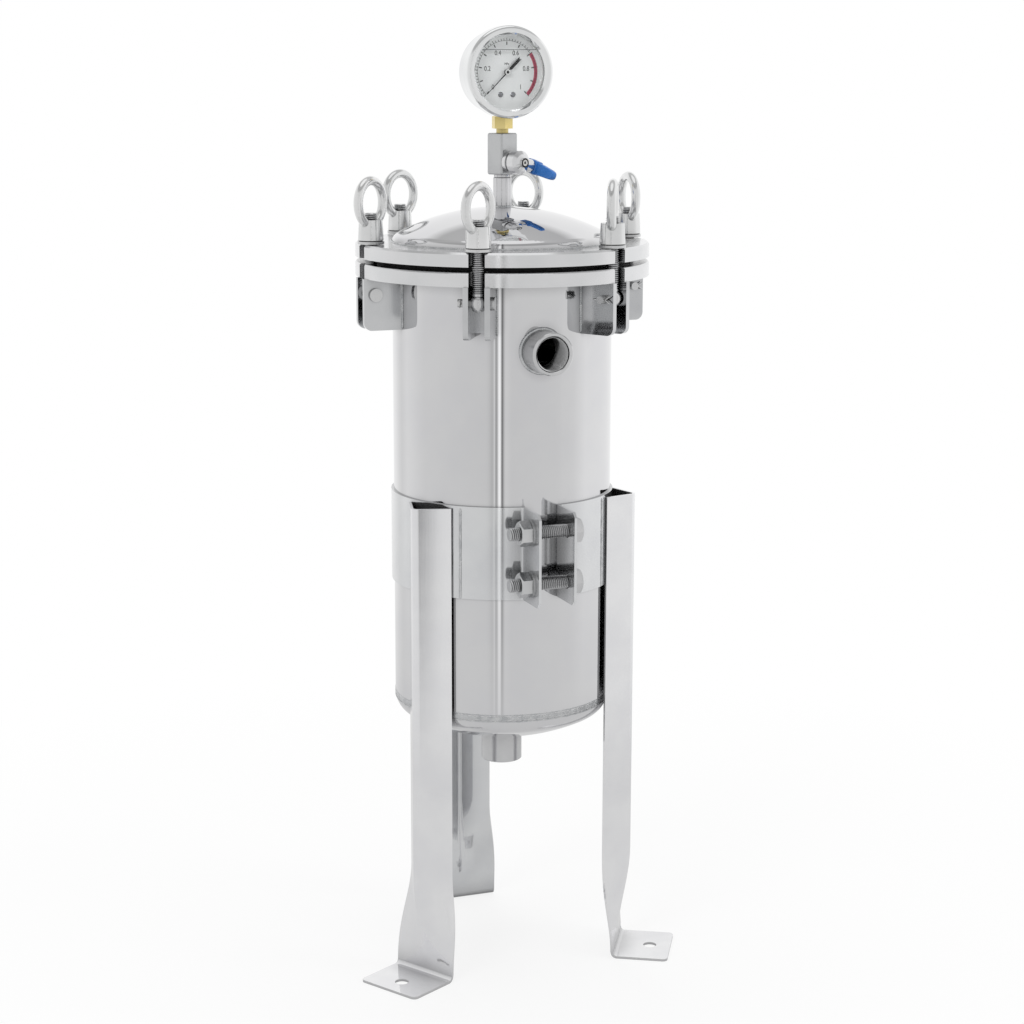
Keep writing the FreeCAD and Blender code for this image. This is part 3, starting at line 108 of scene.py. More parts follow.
class Graph:
    """The node tree of a material or world, with short ways to add the nodes that repeat."""

    def __init__(self, owner: bpy.types.Material | bpy.types.World, output: str) -> None:
        """Empty the owner's tree and add its output node.

        Args:
            owner: The material or world.
            output: Kind of the output node.
        """
        owner.use_nodes = True
        self.owner = owner
        self.tree = owner.node_tree
        self.tree.nodes.clear()
        self.output = self.add(output)

    @classmethod
    def material(cls, name: str) -> Graph:
        """Return the graph of a new material."""
        return cls(bpy.data.materials.new(name), "OutputMaterial")

    def close(self, shader: Socket) -> bpy.types.Material | bpy.types.World:
        """Feed the output with a shader, and return the graph's owner."""
        self.tree.links.new(shader, self.output.inputs[0])
        return self.owner

    def add(self, kind: str, inputs: dict | None = None, **fields: object) -> bpy.types.Node:
        """Add one node with its fields, its fixed inputs and its links.

        Args:
            kind: Blender's name of the node type, without "ShaderNode" before it.
            inputs: Socket name or number to a value, or to the output that feeds it.
            fields: Properties of the node itself.

        Returns:
            The new node.
        """
        node = self.tree.nodes.new(f"ShaderNode{kind}")
        for name, setting in fields.items():
            setattr(node, name, setting)
        for key, given in (inputs or {}).items():
            if isinstance(given, Socket):
                self.tree.links.new(given, node.inputs[key])
            else:
                node.inputs[key].default_value = given
        return node

    def place(self) -> Socket:
        """Return the object coordinates, in metres."""
        return self.add("TexCoord").outputs["Object"]

    def noise(self, place: Socket, size: float, detail: float) -> Socket:
        """Return a noise from 0 to 1 with spots of a size in millimetres."""
        inputs = {"Vector": place, "Scale": 1 / (size * MM), "Detail": detail}
        return self.add("TexNoise", inputs).outputs[0]

    def math(self, operation: str, first: Socket, second: Socket | float) -> Socket:
        """Return two values joined by an operation of the math node."""
        return self.add("Math", {0: first, 1: second}, operation=operation).outputs[0]

    def length(self, vector: Socket) -> Socket:
        """Return the length of a vector."""
        return self.add("VectorMath", {0: vector}, operation="LENGTH").outputs["Value"]

    def rescale(
        self, value: Socket, low: float, high: float, first: float = 0.0, last: float = 1.0
    ) -> Socket:
        """Return a value moved from the range low to high into the range first to last, and held there."""
        return self.add("MapRange", {0: value, 1: low, 2: high, 3: first, 4: last}).outputs[0]

    def ramp(self, value: Socket, stops: Sequence[tuple[float, Sequence[float]]]) -> Socket:
        """Return the colour of a ramp.

        Args:
            value: What is looked up, from 0 to 1.
            stops: Positions in order, each with its linear colour.
        """
        node = self.add("ValToRGB", {0: value})
        while len(node.color_ramp.elements) < len(stops):
            node.color_ramp.elements.new(1.0)
        for element, (position, colour) in zip(node.color_ramp.elements, stops):
            element.position = position
            element.color = colour
        return node.outputs[0]

    def rays(self, *kinds: str) -> Socket:
        """Return 1 for rays of the given kinds and 0 for the others."""
        path = self.add("LightPath")
        found = [path.outputs[f"Is {kind} Ray"] for kind in kinds]
        return reduce(lambda first, second: self.math("MAXIMUM", first, second), found)

    def surface(self, inputs: dict, height: Socket, relief: float) -> Socket:
        """Return a principled shader that a pattern bumps.

        Args:
            inputs: The shader's own inputs.
            height: The pattern, from 0 to 1.
            relief: Depth of the pattern in millimetres.
        """
        bump = self.add("Bump", {"Height": height, "Strength": 1.0, "Distance": relief * MM})
        return self.add("BsdfPrincipled", {**inputs, "Normal": bump.outputs[0]}).outputs[0]

    def mix(self, share: Socket, first: Socket, second: Socket) -> Socket:
        """Return a shader mixed of two by the share of the second."""
        return self.add("MixShader", {0: share, 1: first, 2: second}).outputs[0]


class Grain(Enum):
    """Which way the marks of a metal surface run."""

    POLISHED = "no marks, only a slow waviness of the sheet"
    UPRIGHT = "fine lines along Z, as on brushed strip"
    TURNED = "lines round Z, as a lathe leaves them"
    CAST = "fine even pitting, as on a forged or cast blank"
    RIPPLED = "small frozen waves, as on a weld"


@dataclass(frozen=True)
class Metal:
    """A bare metal: its colour, its gloss and the marks its making left."""

    name: str
    colour: str
    shade: str
    gloss: tuple[float, float]
    grain: Grain
    # Size and depth of the marks, and size of the cloudy spots, in millimetres.
    mark: float
    relief: float
    blotch: float = 35.0
    metallic: float = 1.0
    # How far the shade of a corner reaches in millimetres, and what it leaves of the colour.
    corner: tuple[float, float] = (16.0, 0.35)

    def pattern(self, graph: Graph, place: Socket) -> Socket:
        """Return the grain as a value from 0 to 1.

        Args:
            graph: The material's graph.
            place: Object coordinates, in metres.
        """
        if self.grain is Grain.TURNED:
            apart = graph.add("SeparateXYZ", {0: place}).outputs
            flat = graph.add("CombineXYZ", {0: apart[0], 1: apart[1]}).outputs[0]
            place = graph.add("CombineXYZ", {0: graph.length(flat), 2: apart[2]}).outputs[0]
        if self.grain is Grain.UPRIGHT:
            stretch = (1, 1, 0.012)
            place = graph.add("Mapping", {"Vector": place, "Scale": stretch}).outputs[0]
        return graph.noise(place, self.mark, 1.0 if self.grain is Grain.POLISHED else 4.0)

    def make(self) -> bpy.types.Material:
        """Return the material."""
        graph = Graph.material(self.name)
        place = graph.place()
        marks = self.pattern(graph, place)
        # Handling and uneven polishing change the gloss over a few centimetres.
        clouds = graph.noise(place, self.blotch, 3.0)
        rough = graph.rescale(graph.math("MULTIPLY", marks, clouds), 0.12, 0.38, *self.gloss)
        tone = graph.ramp(clouds, ((0.35, linear(self.shade)), (0.62, linear(self.colour))))
        # Painted shade: corners and thread roots are darkened where nearby metal hides them from the light.
        reach, left = self.corner
        near = graph.add("AmbientOcclusion", {"Distance": reach * MM}, samples=8).outputs["AO"]
        kept = graph.rescale(near, 0.15, 0.85, left)
        tone = graph.add("VectorMath", {0: tone, "Scale": kept}, operation="SCALE").outputs[0]
        inputs = {"Base Color": tone, "Metallic": self.metallic, "Roughness": rough}
        return graph.close(graph.surface(inputs, marks, self.relief))


@dataclass(frozen=True)
class Solid:
    """A coated, moulded or pressed surface that isn't bare metal."""

    name: str
    colour: str
    shade: str
    gloss: tuple[float, float]
    ior: float
    # Size and depth of the grit, and size of the cloudy spots, in millimetres.
    mark: float
    relief: float
    blotch: float = 18.0

    def make(self) -> bpy.types.Material:
        """Return the material."""
        graph = Graph.material(self.name)
        place = graph.place()
        grit = graph.noise(place, self.mark, 5.0)
        clouds = graph.noise(place, self.blotch, 2.0)
        tone = graph.ramp(clouds, ((0.35, linear(self.shade)), (0.65, linear(self.colour))))
        rough = graph.rescale(grit, 0.3, 0.7, *self.gloss)
        inputs = {"Base Color": tone, "Roughness": rough, "IOR": self.ior}
        return graph.close(graph.surface(inputs, grit, self.relief))


@dataclass(frozen=True)
class Clear:
    """A clear pane that lets the lamps through to what is behind it."""

    name: str
    colour: str
    ior: float
    roughness: float
    # Size and depth of the pane's waviness, in millimetres.
    mark: float = 30.0
    relief: float = 0.02

    def make(self) -> bpy.types.Material:
        """Return the material."""
        graph = Graph.material(self.name)
        tint = linear(self.colour)
        inputs = {"Base Color": tint, "Roughness": self.roughness, "IOR": self.ior}
        waves = graph.noise(graph.place(), self.mark, 1.0)
        glass = graph.surface({**inputs, "Transmission Weight": 1.0}, waves, self.relief)
        through = graph.add("BsdfTransparent", {"Color": tint}).outputs[0]
        return graph.close(graph.mix(graph.rays("Shadow", "Diffuse"), glass, through))


@dataclass(frozen=True)
class Felt:
    """Needled polyester felt: a matt, hairy cloth whose surface was singed."""

    name: str = "needled_polyester_felt"
    colour: str = "EFEDE6"
    shade: str = "DDD9CE"
    # Single fibres are 0.02 mm thick; matted tufts and the gaps between them are what shows.
    tuft: float = 0.8
    gap: float = 1.6
    relief: float = 0.25

    def make(self) -> bpy.types.Material:
        """Return the material."""
        graph = Graph.material(self.name)
        place = graph.place()
        tufts = graph.noise(place, self.tuft, 6.0)
        hairs = graph.add("TexVoronoi", {"Vector": place, "Scale": 1 / (self.gap * MM), "Randomness": 1.0})
        mixed = graph.math("ADD", tufts, hairs.outputs[0])
        tone = graph.ramp(mixed, ((0.45, linear(self.shade)), (1.0, linear(self.colour))))
        inputs = {"Base Color": tone, "Roughness": 0.92, "Sheen Weight": 0.35, "Sheen Roughness": 0.5}
        return graph.close(graph.surface(inputs, mixed, self.relief))


Finish = Metal | Solid | Clear | Felt

# Mirror-polished stainless sheet: clean reflections that only wander with the rolled surface.
MIRROR = Metal("mirror_polished_stainless", "DCDCDD", "D9D9DB", (0.02, 0.04), Grain.POLISHED, 60.0, 0.04)
# Stainless flanges faced on a lathe: fine rings and a soft gloss.
FACED = Metal("lathe_faced_stainless", "E4E4E5", "DDDEDF", (0.12, 0.20), Grain.TURNED, 0.6, 0.008)
# Cold-rolled strip with a satin finish: faint lines along its length.
STRIP = Metal(
    "satin_rolled_stainless_strip",
    "F2F2F3",
    "ECECEE",
    (0.06, 0.11),
    Grain.UPRIGHT,
    0.7,
    0.003,
    metallic=0.9,
    corner=(30.0, 0.3),
)
# The strap and the leg behind it, a little greyer; on the rear leg, which stands behind the vessel, the grey
# is painted shade.
BAND = replace(STRIP, name="satin_strap_stainless", colour="E0E1E2", shade="D9DADC")
# Lugs cut from plate and folded, greyer than the legs: painted shade for the dark gaps that they stand in and
# mirror.
FOLDED = Metal(
    "folded_stainless_plate", "D2D3D4", "C2C3C5", (0.08, 0.15), Grain.UPRIGHT, 0.9, 0.004, corner=(14.0, 0.45)
)
# Pipe sockets turned from bar; their far-reaching corner shade is painted shade, which darkens the outlet
# under the vessel.
SOCKET = Metal(
    "turned_socket_stainless", "D6D6D7", "C8C9CA", (0.12, 0.2), Grain.TURNED, 0.6, 0.008, corner=(45.0, 0.3)
)
# The gauge's case and bezel, pressed from bright strip.
PRESSED = Metal(
    "bright_pressed_gauge_steel",
    "F2F3F3",
    "ECEDEE",
    (0.02, 0.04),
    Grain.POLISHED,
    40.0,
    0.02,
    corner=(6.0, 0.3),
)
# Forged eye nuts, tumbled bright: a slightly uneven skin.
FORGED = Metal("tumbled_forged_stainless", "ECECEC", "DEDFDF", (0.09, 0.18), Grain.CAST, 1.4, 0.03)
# Bright machined fasteners.
FASTENER = Metal("machined_stainless_fastener", "DADADA", "CBCCCD", (0.16, 0.26), Grain.CAST, 0.8, 0.010)
# Weld metal after pickling and brushing: duller than the sheet round it.
WELD = Metal("pickled_weld_metal", "D2D3D4", "B9BBBD", (0.16, 0.28), Grain.RIPPLED, 1.1, 0.05, 6.0)
# Swing bolts and clamp bolts with rolled threads, greyer than the turned fasteners, partly as painted shade
# for the swing bolts that stand between the flange lobes; the short, strong corner shade paints the thread
# roots dark.
ROLLED = Metal(
    "rolled_thread_stainless", "D6D6D7", "C4C5C6", (0.14, 0.24), Grain.CAST, 0.8, 0.010, corner=(1.6, 0.12)
)
# The tee block, milled from bar and brushed.
MILLED = Metal("milled_block_stainless", "C6C7C8", "B4B5B7", (0.16, 0.26), Grain.UPRIGHT, 0.6, 0.008)
# Screws of the gauge dial, painted dark for the dark reflection that their polished heads show.
BLUED = Metal("blued_dial_screw", "8E8F92", "6E6F73", (0.16, 0.26), Grain.CAST, 0.5, 0.004, corner=(1.0, 0.6))
# Freshly turned brass.
BRASS = Metal("turned_brass", "F0DFA0", "E2CB80", (0.12, 0.22), Grain.TURNED, 0.5, 0.008)
# Compressed nitrile rubber sheet.
RUBBER = Solid("nitrile_rubber_sheet", "1B1B1C", "131314", (0.55, 0.75), 1.52, 0.6, 0.03)
# Enamel of an aluminium dial, and the inks printed on it.
ENAMEL = Solid("grey_dial_enamel", "FAFAFA", "F5F5F5", (0.38, 0.5), 1.5, 0.9, 0.004)
INK_BLACK = Solid("black_screen_ink", "141416", "101012", (0.45, 0.6), 1.35, 0.7, 0.003)
INK_RED = Solid("red_screen_ink", "C4506A", "BE4862", (0.45, 0.6), 1.5, 0.7, 0.003)
WHITE_LACQUER = Solid("white_lacquer", "EDEDEC", "E4E4E3", (0.3, 0.4), 1.5, 0.8, 0.003)
# Matt black lacquer of the pointer.
LACQUER = Solid("black_pointer_lacquer", "121214", "0E0E0F", (0.35, 0.5), 1.35, 0.6, 0.003)
# Injection-moulded nylon lever, slightly glossy.
NYLON = Solid("moulded_blue_nylon", "3478C8", "2C6CBB", (0.28, 0.42), 1.53, 1.6, 0.02)
# PTFE seat of the vent.
PTFE = Solid("ptfe_seat", "E9E8E4", "DEDDD8", (0.35, 0.5), 1.38, 0.8, 0.005)
# The line where the liquid climbs the window: a grey strip painted dark for the light that the curved liquid
# surface bends away.
MENISCUS = Solid("wet_liquid_edge", "6C6E70", "5A5C5E", (0.2, 0.3), 1.47, 0.8, 0.002)
GLASS = Clear("gauge_window", "FAFBFB", 1.3, 0.01)
FELT = Felt()


def material_of(finish: Finish) -> bpy.types.Material:
    """Return a finish's material, made once."""
    return bpy.data.materials.get(finish.name) or finish.make()


def dress(nodes: Nodes, finish: Finish, names: Iterable[str]) -> None:
    """Give CAD nodes a finish by their material slots."""
    for name in names:
        mesh = nodes[name].data
        mesh.materials.clear()
        mesh.materials.append(material_of(finish))
        LOG.info("node %s: %s", name, finish.name)


# ---------------------------------------------------------------- meshes


def at_bearing(bearing: float) -> Matrix:
    """Return the turn about +Z that takes +X to a bearing in degrees."""
    return Matrix.Rotation(math.radians(bearing - 90), 4, "Z")


def shift(x: float, y: float, z: float) -> Matrix:
    """Return a move in millimetres."""
    return Matrix.Translation((x * MM, y * MM, z * MM))


def face_outwards(bm: Mesh) -> None:
    """Turn every face of a mesh outwards."""
    bmesh.ops.recalc_face_normals(bm, faces=bm.faces)


def fill_holes(bm: Mesh) -> None:
    """Close every open end of a mesh."""
    bmesh.ops.holes_fill(bm, edges=[edge for edge in bm.edges if edge.is_boundary], sides=0)


def cut_off(bm: Mesh, point: Sequence[float], away: Sequence[float]) -> None:
    """Cut off what lies beyond a plane, which is given by a point in metres and the way out of it."""
    whole = bm.verts[:] + bm.edges[:] + bm.faces[:]
    bmesh.ops.bisect_plane(bm, geom=whole, plane_co=point, plane_no=away, clear_outer=True)


def turned(outline: Outline, steps: int, closed: bool = True) -> Mesh:
    """Spin an outline of (radius, height) points in millimetres round +Z.

    Args:
        outline: The points in order.
        steps: Faces round the full turn.
        closed: Whether the last point joins the first.

    Returns:
        The new mesh, with its poles merged and its normals outwards.
    """
    bm = bmesh.new()
    verts = [bm.verts.new((r * MM, 0, z * MM)) for r, z in outline]
    pairs = list(zip(verts, verts[1:])) + ([(verts[-1], verts[0])] if closed else [])
    geom = verts + [bm.edges.new(pair) for pair in pairs]
    bmesh.ops.spin(bm, geom=geom, cent=(0, 0, 0), axis=UP, angle=FULL_TURN, steps=steps, use_merge=True)
    bmesh.ops.remove_doubles(bm, verts=bm.verts, dist=0.0005 * MM)
    face_outwards(bm)
    return bm


def screw_thread(crest: float, root: float, pitch: float, low: float, high: float, steps: int = 20) -> Mesh:
    """Sweep one turn of thread up +Z and cut it off square; a root above the crest makes an inner thread.

    Args:
        crest: Radius of the flat crest in millimetres.
        root: Radius of the groove in millimetres.
        pitch: Rise of one turn in millimetres.
        low: Lower end in millimetres.
        high: Upper end in millimetres.
        steps: Faces round one turn.

    Returns:
        The threaded skin, open at both ends.
    """
    bm = bmesh.new()
    # Corners of the profile: radius, and share of the pitch.
    shares = ((root, 0.0), (crest, 0.42), (crest, 0.58), (root, 1.0))
    verts = [bm.verts.new((r * MM, 0, (low + (share - 1) * pitch) * MM)) for r, share in shares]
    edges = [bm.edges.new(pair) for pair in zip(verts, verts[1:])]
    turns = math.ceil((high - low) / pitch) + 1
    bmesh.ops.spin(
        bm,
        geom=verts + edges,
        cent=(0, 0, 0),
        axis=UP,
        dvec=(0, 0, pitch * MM / steps),
        angle=FULL_TURN * turns,
        steps=steps * turns,
        use_merge=False,
    )
    bmesh.ops.remove_doubles(bm, verts=bm.verts, dist=0.002 * MM)
    cut_off(bm, (0, 0, low * MM), -UP)
    cut_off(bm, (0, 0, high * MM), UP)
    face_outwards(bm)
    return bm


def point_thread(bm: Mesh, end: float, way: int) -> None:
    """Draw in the last turns of a bolt's thread, so that it starts at its root.

    Args:
        bm: The thread, round the Z axis.
        end: Height of its end in millimetres.
        way: 1 for an upper end and -1 for a lower one.
    """
    slope, start = 0.9, 0.1
    for vert in bm.verts:
        limit = THREAD_ROOT + way * (end - vert.co.z / MM) * slope + start
        reach = math.hypot(vert.co.x, vert.co.y) / MM
        if reach > limit:
            vert.co.x, vert.co.y = vert.co.x * limit / reach, vert.co.y * limit / reach


def add_box(bm: Mesh, size: tuple[float, float, float], place: Matrix) -> None:
    """Add a box of three lengths in millimetres, about a place."""
    stretch = Matrix.Diagonal((*(length * MM for length in size), 1))
    bmesh.ops.create_cube(bm, size=1.0, matrix=place @ stretch)


def round_off(bm: Mesh, radius: float, sharp: float = 30.0) -> None:
    """Round the sharp edges of a mesh.

    Args:
        bm: The mesh.
        radius: Width of the rounding in millimetres.
        sharp: Angle in degrees above which an edge is rounded.
    """
    edges = [edge for edge in bm.edges if edge.is_manifold and edge.calc_face_angle() > math.radians(sharp)]
    bmesh.ops.bevel(
        bm,
        geom=edges,
        offset=radius * MM,
        offset_type="OFFSET",
        segments=3,
        profile=0.5,
        affect="EDGES",
        clamp_overlap=True,
        material=-1,
    )
    face_outwards(bm)


def absorb(bm: Mesh, other: Mesh, place: Matrix | None = None) -> None:
    """Add a placed copy of another mesh to this one, and free the other."""
    held = bpy.data.meshes.new("held")
    other.to_mesh(held)
    other.free()
    if place is not None:
        held.transform(place)
    bm.from_mesh(held)
    bpy.data.meshes.remove(held)


def put(name: str, data: bpy.types.ID) -> bpy.types.Object:
    """Return a new object of the scene with the given data."""
    made = bpy.data.objects.new(name, data)
    bpy.context.scene.collection.objects.link(made)
    return made


def object_of(bm: Mesh, name: str, material: bpy.types.Material) -> bpy.types.Object:
    """Return a new object made of a mesh, which is freed."""
    mesh = bpy.data.meshes.new(name)
    bm.to_mesh(mesh)
    bm.free()
    mesh.materials.append(material)
    return put(name, mesh)


def piece(
    bm: Mesh,
    name: str,
    body: str,
    finish: Finish,
    stands_for: Iterable[str] = (),
    sharp: float = 32.0,
    place: Matrix | None = None,
) -> bpy.types.Object:
    """Make an object of a mesh, dress it and let it ride a body.

    Args:
        bm: The mesh; it is freed.
        name: The piece's name.
        body: The CAD body that carries it.
        finish: What it is made of.
        stands_for: CAD nodes that it replaces.
        sharp: Angle in degrees above which an edge stays sharp.
        place: Where the mesh goes in the row frame, if it isn't there yet.

    Returns:
        The new object.
    """
    if place is not None:
        bmesh.ops.transform(bm, matrix=place, verts=bm.verts)
    made = object_of(bm, name, material_of(finish))
    mesh = made.data
    mesh.polygons.foreach_set("use_smooth", [True] * len(mesh.polygons))
    mesh.set_sharp_from_angle(angle=math.radians(sharp))
    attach(made, body)
    if stands_for:
        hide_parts(*stands_for)
    LOG.info("piece %s: %d faces on %s", name, len(mesh.polygons), body)
    return made


# ---------------------------------------------------------------- welds


def frame_at(place: Vector, along: Vector, out: Vector) -> Matrix:
    """Return a placing matrix from a point, the way along a weld and the way out of the metal."""
    x = along.normalized()
    z = (out - out.dot(x) * x).normalized()
    turn = Matrix((x, z.cross(x), z)).transposed().to_4x4()
    return Matrix.Translation(place) @ turn


def straight_line(start: Vector, along: Vector, out: Vector) -> Line:
    """Return the line of a straight weld from a start in millimetres."""
    return lambda distance: frame_at((start + along * distance) * MM, along, out)


def ring_line(radius: float, height: float, slope: float) -> Line:
    """Return the line of a ring weld round +Z, whose face leans up by slope degrees."""
    lean = math.radians(slope)

    def line(distance: float) -> Matrix:
        """Return the place at a distance round the ring."""
        turn = distance / radius
        away = Vector((math.cos(turn), math.sin(turn), 0))
        along = Vector((-math.sin(turn), math.cos(turn), 0))
        place = (away * radius + UP * height) * MM
        return frame_at(place, along, away * math.cos(lean) + UP * math.sin(lean))

    return line


@dataclass
class WeldRun:
    """A run of weld: overlapping scales laid along a line, each a flattened drop."""

    # Width, height and spacing of the scales, in millimetres.
    across: float
    height: float
    pitch: float
    seed: int
    # Share by which the width and height of a scale stray.
    uneven: float = 0.12
    overlap: float = 1.15
    tilt: float = 8.0
    # A growing mesh slows the operator down, so that the scales are added in batches.
    batch: int = 20

    def lay(self, bm: Mesh, line: Line, length: float) -> None:
        """Lay the scales.

        Args:
            bm: The mesh that gets them.
            line: From the distance in millimetres to the place: +X along the run, +Z out of the metal.
            length: Length of the run in millimetres.
        """
        draw = Random(self.seed)
        count = max(2, round(length / self.pitch))
        lean = Matrix.Rotation(math.radians(self.tilt), 4, "Y")
        part = bmesh.new()
        for number in range(count):
            wide, tall = (1 + draw.uniform(-self.uneven, self.uneven) for _ in range(2))
            size = (self.pitch * self.overlap * MM, self.across * wide * MM, self.height * tall * MM, 1)
            drop = line((number + 0.5) * length / count) @ lean @ Matrix.Diagonal(size)
            bmesh.ops.create_uvsphere(part, u_segments=10, v_segments=6, radius=1.0, matrix=drop)
            if number % self.batch == self.batch - 1 or number == count - 1:
                absorb(bm, part)
                part = bmesh.new()
        part.free()

    def ring(self, bm: Mesh, radius: float, height: float, slope: float, off: float = 0.0) -> None:
        """Lay a ring round +Z.

        Args:
            bm: The mesh that gets it.
            radius: Radius of what is welded, in millimetres.
            height: Height of the ring in millimetres.
            slope: How far its face leans up, in degrees.
            off: How far the ring stands off the radius, in millimetres.
        """
        self.lay(bm, ring_line(radius + off, height, slope), FULL_TURN * radius)


# ---------------------------------------------------------------- studio


@dataclass
class Studio:
    """Camera, pale floor, lamps and the light tent that the polished steel mirrors."""

    camera_place: tuple[float, float, float] = (-0.6017, -1.6032, 0.7022)
    yaw: float = 20.836
    pitch: float = 11.522
    roll: float = 0.116
    lens: float = 78.58
    sensor: float = 36.0
    ambient: float = 0.5
    floor_radius: float = 7.0
    floor_shade: float = 0.68
    # The paper is plain white beyond the second radius, and keeps the shadow within the first.
    floor_fade: tuple[float, float] = (0.2, 0.8)
    floor_glow: float = 0.82
    tent_radius: float = 0.5
    tent_height: float = 1.75
    # Name, place, size and power of each lamp, and the point they are aimed at.
    lamps: tuple[tuple[str, tuple[float, float, float], float, float], ...] = (
        ("lamp_left", (-2.3, -1.7, 2.0), 1.6, 24.0),
        ("lamp_right", (2.2, -1.9, 1.5), 1.6, 17.0),
        ("lamp_top", (0.2, 0.4, 2.9), 2.2, 26.0),
        ("lamp_back", (0.6, 2.5, 1.4), 1.6, 12.0),
    )
    aim: tuple[float, float, float] = (0.0, 0.0, 0.4)
    # Light of the tent's cloth by bearing from the camera's: grey, with a bright slit between dark edges.
    cloth: tuple[tuple[float, float], ...] = (
        (-180.0, 1.0),
        (-141.0, 0.96),
        (-123.5, 0.82),
        (-110.6, 0.91),
        (-99.9, 0.88),
        (-81.8, 0.80),
        (-14.7, 0.745),
        (-11.7, 0.69),
        (-8.8, 0.55),
        (-6.8, 0.89),
        (-4.9, 0.10),
        (-3.4, 1.25),
        (-1.6, 1.25),
        (0.1, 0.10),
        (2.1, 0.69),
        (3.1, 0.82),
        (9.0, 0.75),
        (52.5, 0.77),
        (74.0, 0.83),
        (90.7, 0.97),
        (180.0, 1.0),
    )
    # The same by height in metres: darker near the floor and above the lamps' edge.
    cloth_rise: tuple[tuple[float, float], ...] = (
        (0.0, 0.88),
        (0.10, 0.98),
        (0.5, 1.0),
        (0.95, 1.0),
        (1.08, 0.57),
        (1.75, 0.66),
    )
    # The slit is lost in the folds of the cloth near the floor: their light, and their span in metres.
    cloth_folds: float = 0.78
    folds_span: tuple[float, float] = (0.02, 0.3)

    def camera(self) -> None:
        """Put the camera where the photograph was taken from."""
        yaw, pitch, roll = (math.radians(angle) for angle in (self.yaw, self.pitch, self.roll))
        ahead = Vector((math.sin(yaw) * math.cos(pitch), math.cos(yaw) * math.cos(pitch), -math.sin(pitch)))
        right = Vector((math.cos(yaw), -math.sin(yaw), 0))
        up = right.cross(ahead)
        tilted_right = right * math.cos(roll) + up * math.sin(roll)
        tilted_up = up * math.cos(roll) - right * math.sin(roll)
        data = bpy.data.cameras.new("camera")
        data.lens, data.sensor_width, data.sensor_fit = self.lens, self.sensor, "HORIZONTAL"
        data.clip_start, data.clip_end = 0.05, 60.0
        made = put("camera", data)
        turn = Matrix((tilted_right, tilted_up, -ahead)).transposed().to_4x4()
        made.matrix_world = Matrix.Translation(self.camera_place) @ turn
        bpy.context.scene.camera = made

    @staticmethod
    def seen(graph: Graph) -> Socket:
        """Return 1 for rays that show a surface to the camera, straight or in steel and glass."""
        return graph.rays("Camera", "Glossy", "Transmission")

    def world(self) -> None:
        """White to the camera and in reflections, and a plain half level as light on the object."""
        graph = Graph(bpy.data.worlds.new("studio"), "OutputWorld")
        light, white = (
            graph.add("Background", {0: linear(WHITE), 1: level}).outputs[0] for level in (self.ambient, 1.0)
        )
        bpy.context.scene.world = graph.close(graph.mix(self.seen(graph), light, white))

    @staticmethod
    def on_stage(bm: Mesh, name: str, material: bpy.types.Material) -> bpy.types.Object:
        """Return a new object of the studio, made of a mesh."""
        made = object_of(bm, name, material)
        return made

    def floor(self) -> None:
        """Pale sweep under the object that keeps a soft shadow and fades into the white."""
        graph = Graph.material("pale_floor")
        fade = graph.rescale(graph.length(graph.place()), *self.floor_fade, self.floor_glow)
        share = graph.math("MULTIPLY", fade, self.seen(graph))
        paper = graph.add("BsdfDiffuse", {0: linear("F4F4F4")}).outputs[0]
        # The steel mirrors the paper in the tent's half shade.
        level = graph.rescale(graph.rays("Glossy"), 0.0, 1.0, 1.0, self.floor_shade)
        glow = graph.add("Emission", {0: linear(WHITE), 1: level}).outputs[0]
        material = graph.close(graph.mix(share, paper, glow))
        bm = bmesh.new()
        bmesh.ops.create_circle(bm, cap_ends=True, segments=96, radius=self.floor_radius)
        self.on_stage(bm, "floor", material)

    def tent(self) -> None:
        """Hang the cloth of the light tent round the object: only polished metal and glass see it."""
        own = math.atan2(self.camera_place[0], -self.camera_place[1])
        graph = Graph.material("tent_cloth")
        ahead = graph.add("Mapping", {"Vector": graph.place(), "Rotation": (0, 0, -own)})
        x, y, z = graph.add("SeparateXYZ", {0: ahead.outputs[0]}).outputs
        bearing = graph.math("ARCTAN2", x, graph.math("MULTIPLY", y, -1.0))
        around = graph.rescale(bearing, -math.pi, math.pi)
        across = graph.ramp(around, [((b + 180) / 360, (v, v, v, 1)) for b, v in self.cloth])
        loose = graph.rescale(z, *self.folds_span, 1.0, 0.0)
        across = graph.add("Mix", {0: loose, 2: across, 3: self.cloth_folds}, data_type="FLOAT").outputs[0]
        rise = graph.rescale(z, 0.0, self.tent_height)
        upward = graph.ramp(rise, [(h / self.tent_height, (v, v, v, 1)) for h, v in self.cloth_rise])
        glow = graph.add("Emission", {0: linear(WHITE), 1: graph.math("MULTIPLY", across, upward)})
        radius, top = self.tent_radius / MM, self.tent_height / MM
        cloth = turned([(radius, 3.0), (radius, top)], 180, closed=False)
        made = self.on_stage(cloth, "tent", graph.close(glow.outputs[0]))
        made.visible_camera = made.visible_diffuse = made.visible_shadow = False
        made.visible_transmission = made.visible_volume_scatter = False

    def light(self) -> None:
        """Four large soft lamps; the tent's white stands for them in reflections."""
        for name, place, size, power in self.lamps:
            data = bpy.data.lights.new(name, "AREA")
            data.shape, data.size, data.energy = "DISK", size, power
            made = put(name, data)
            made.location = place
            made.rotation_euler = (Vector(self.aim) - Vector(place)).to_track_quat("-Z", "Y").to_euler()
            made.visible_glossy = made.visible_camera = False

    def build(self) -> None:
        """Build the whole studio."""
        self.camera()
        self.world()
        self.floor()
        self.tent()
        self.light()
        bpy.context.scene.view_settings.view_transform = "Standard"
        LOG.info("studio: camera, world, floor, tent and %d lamps", len(self.lamps))


# ---------------------------------------------------------------- sub-assemblies


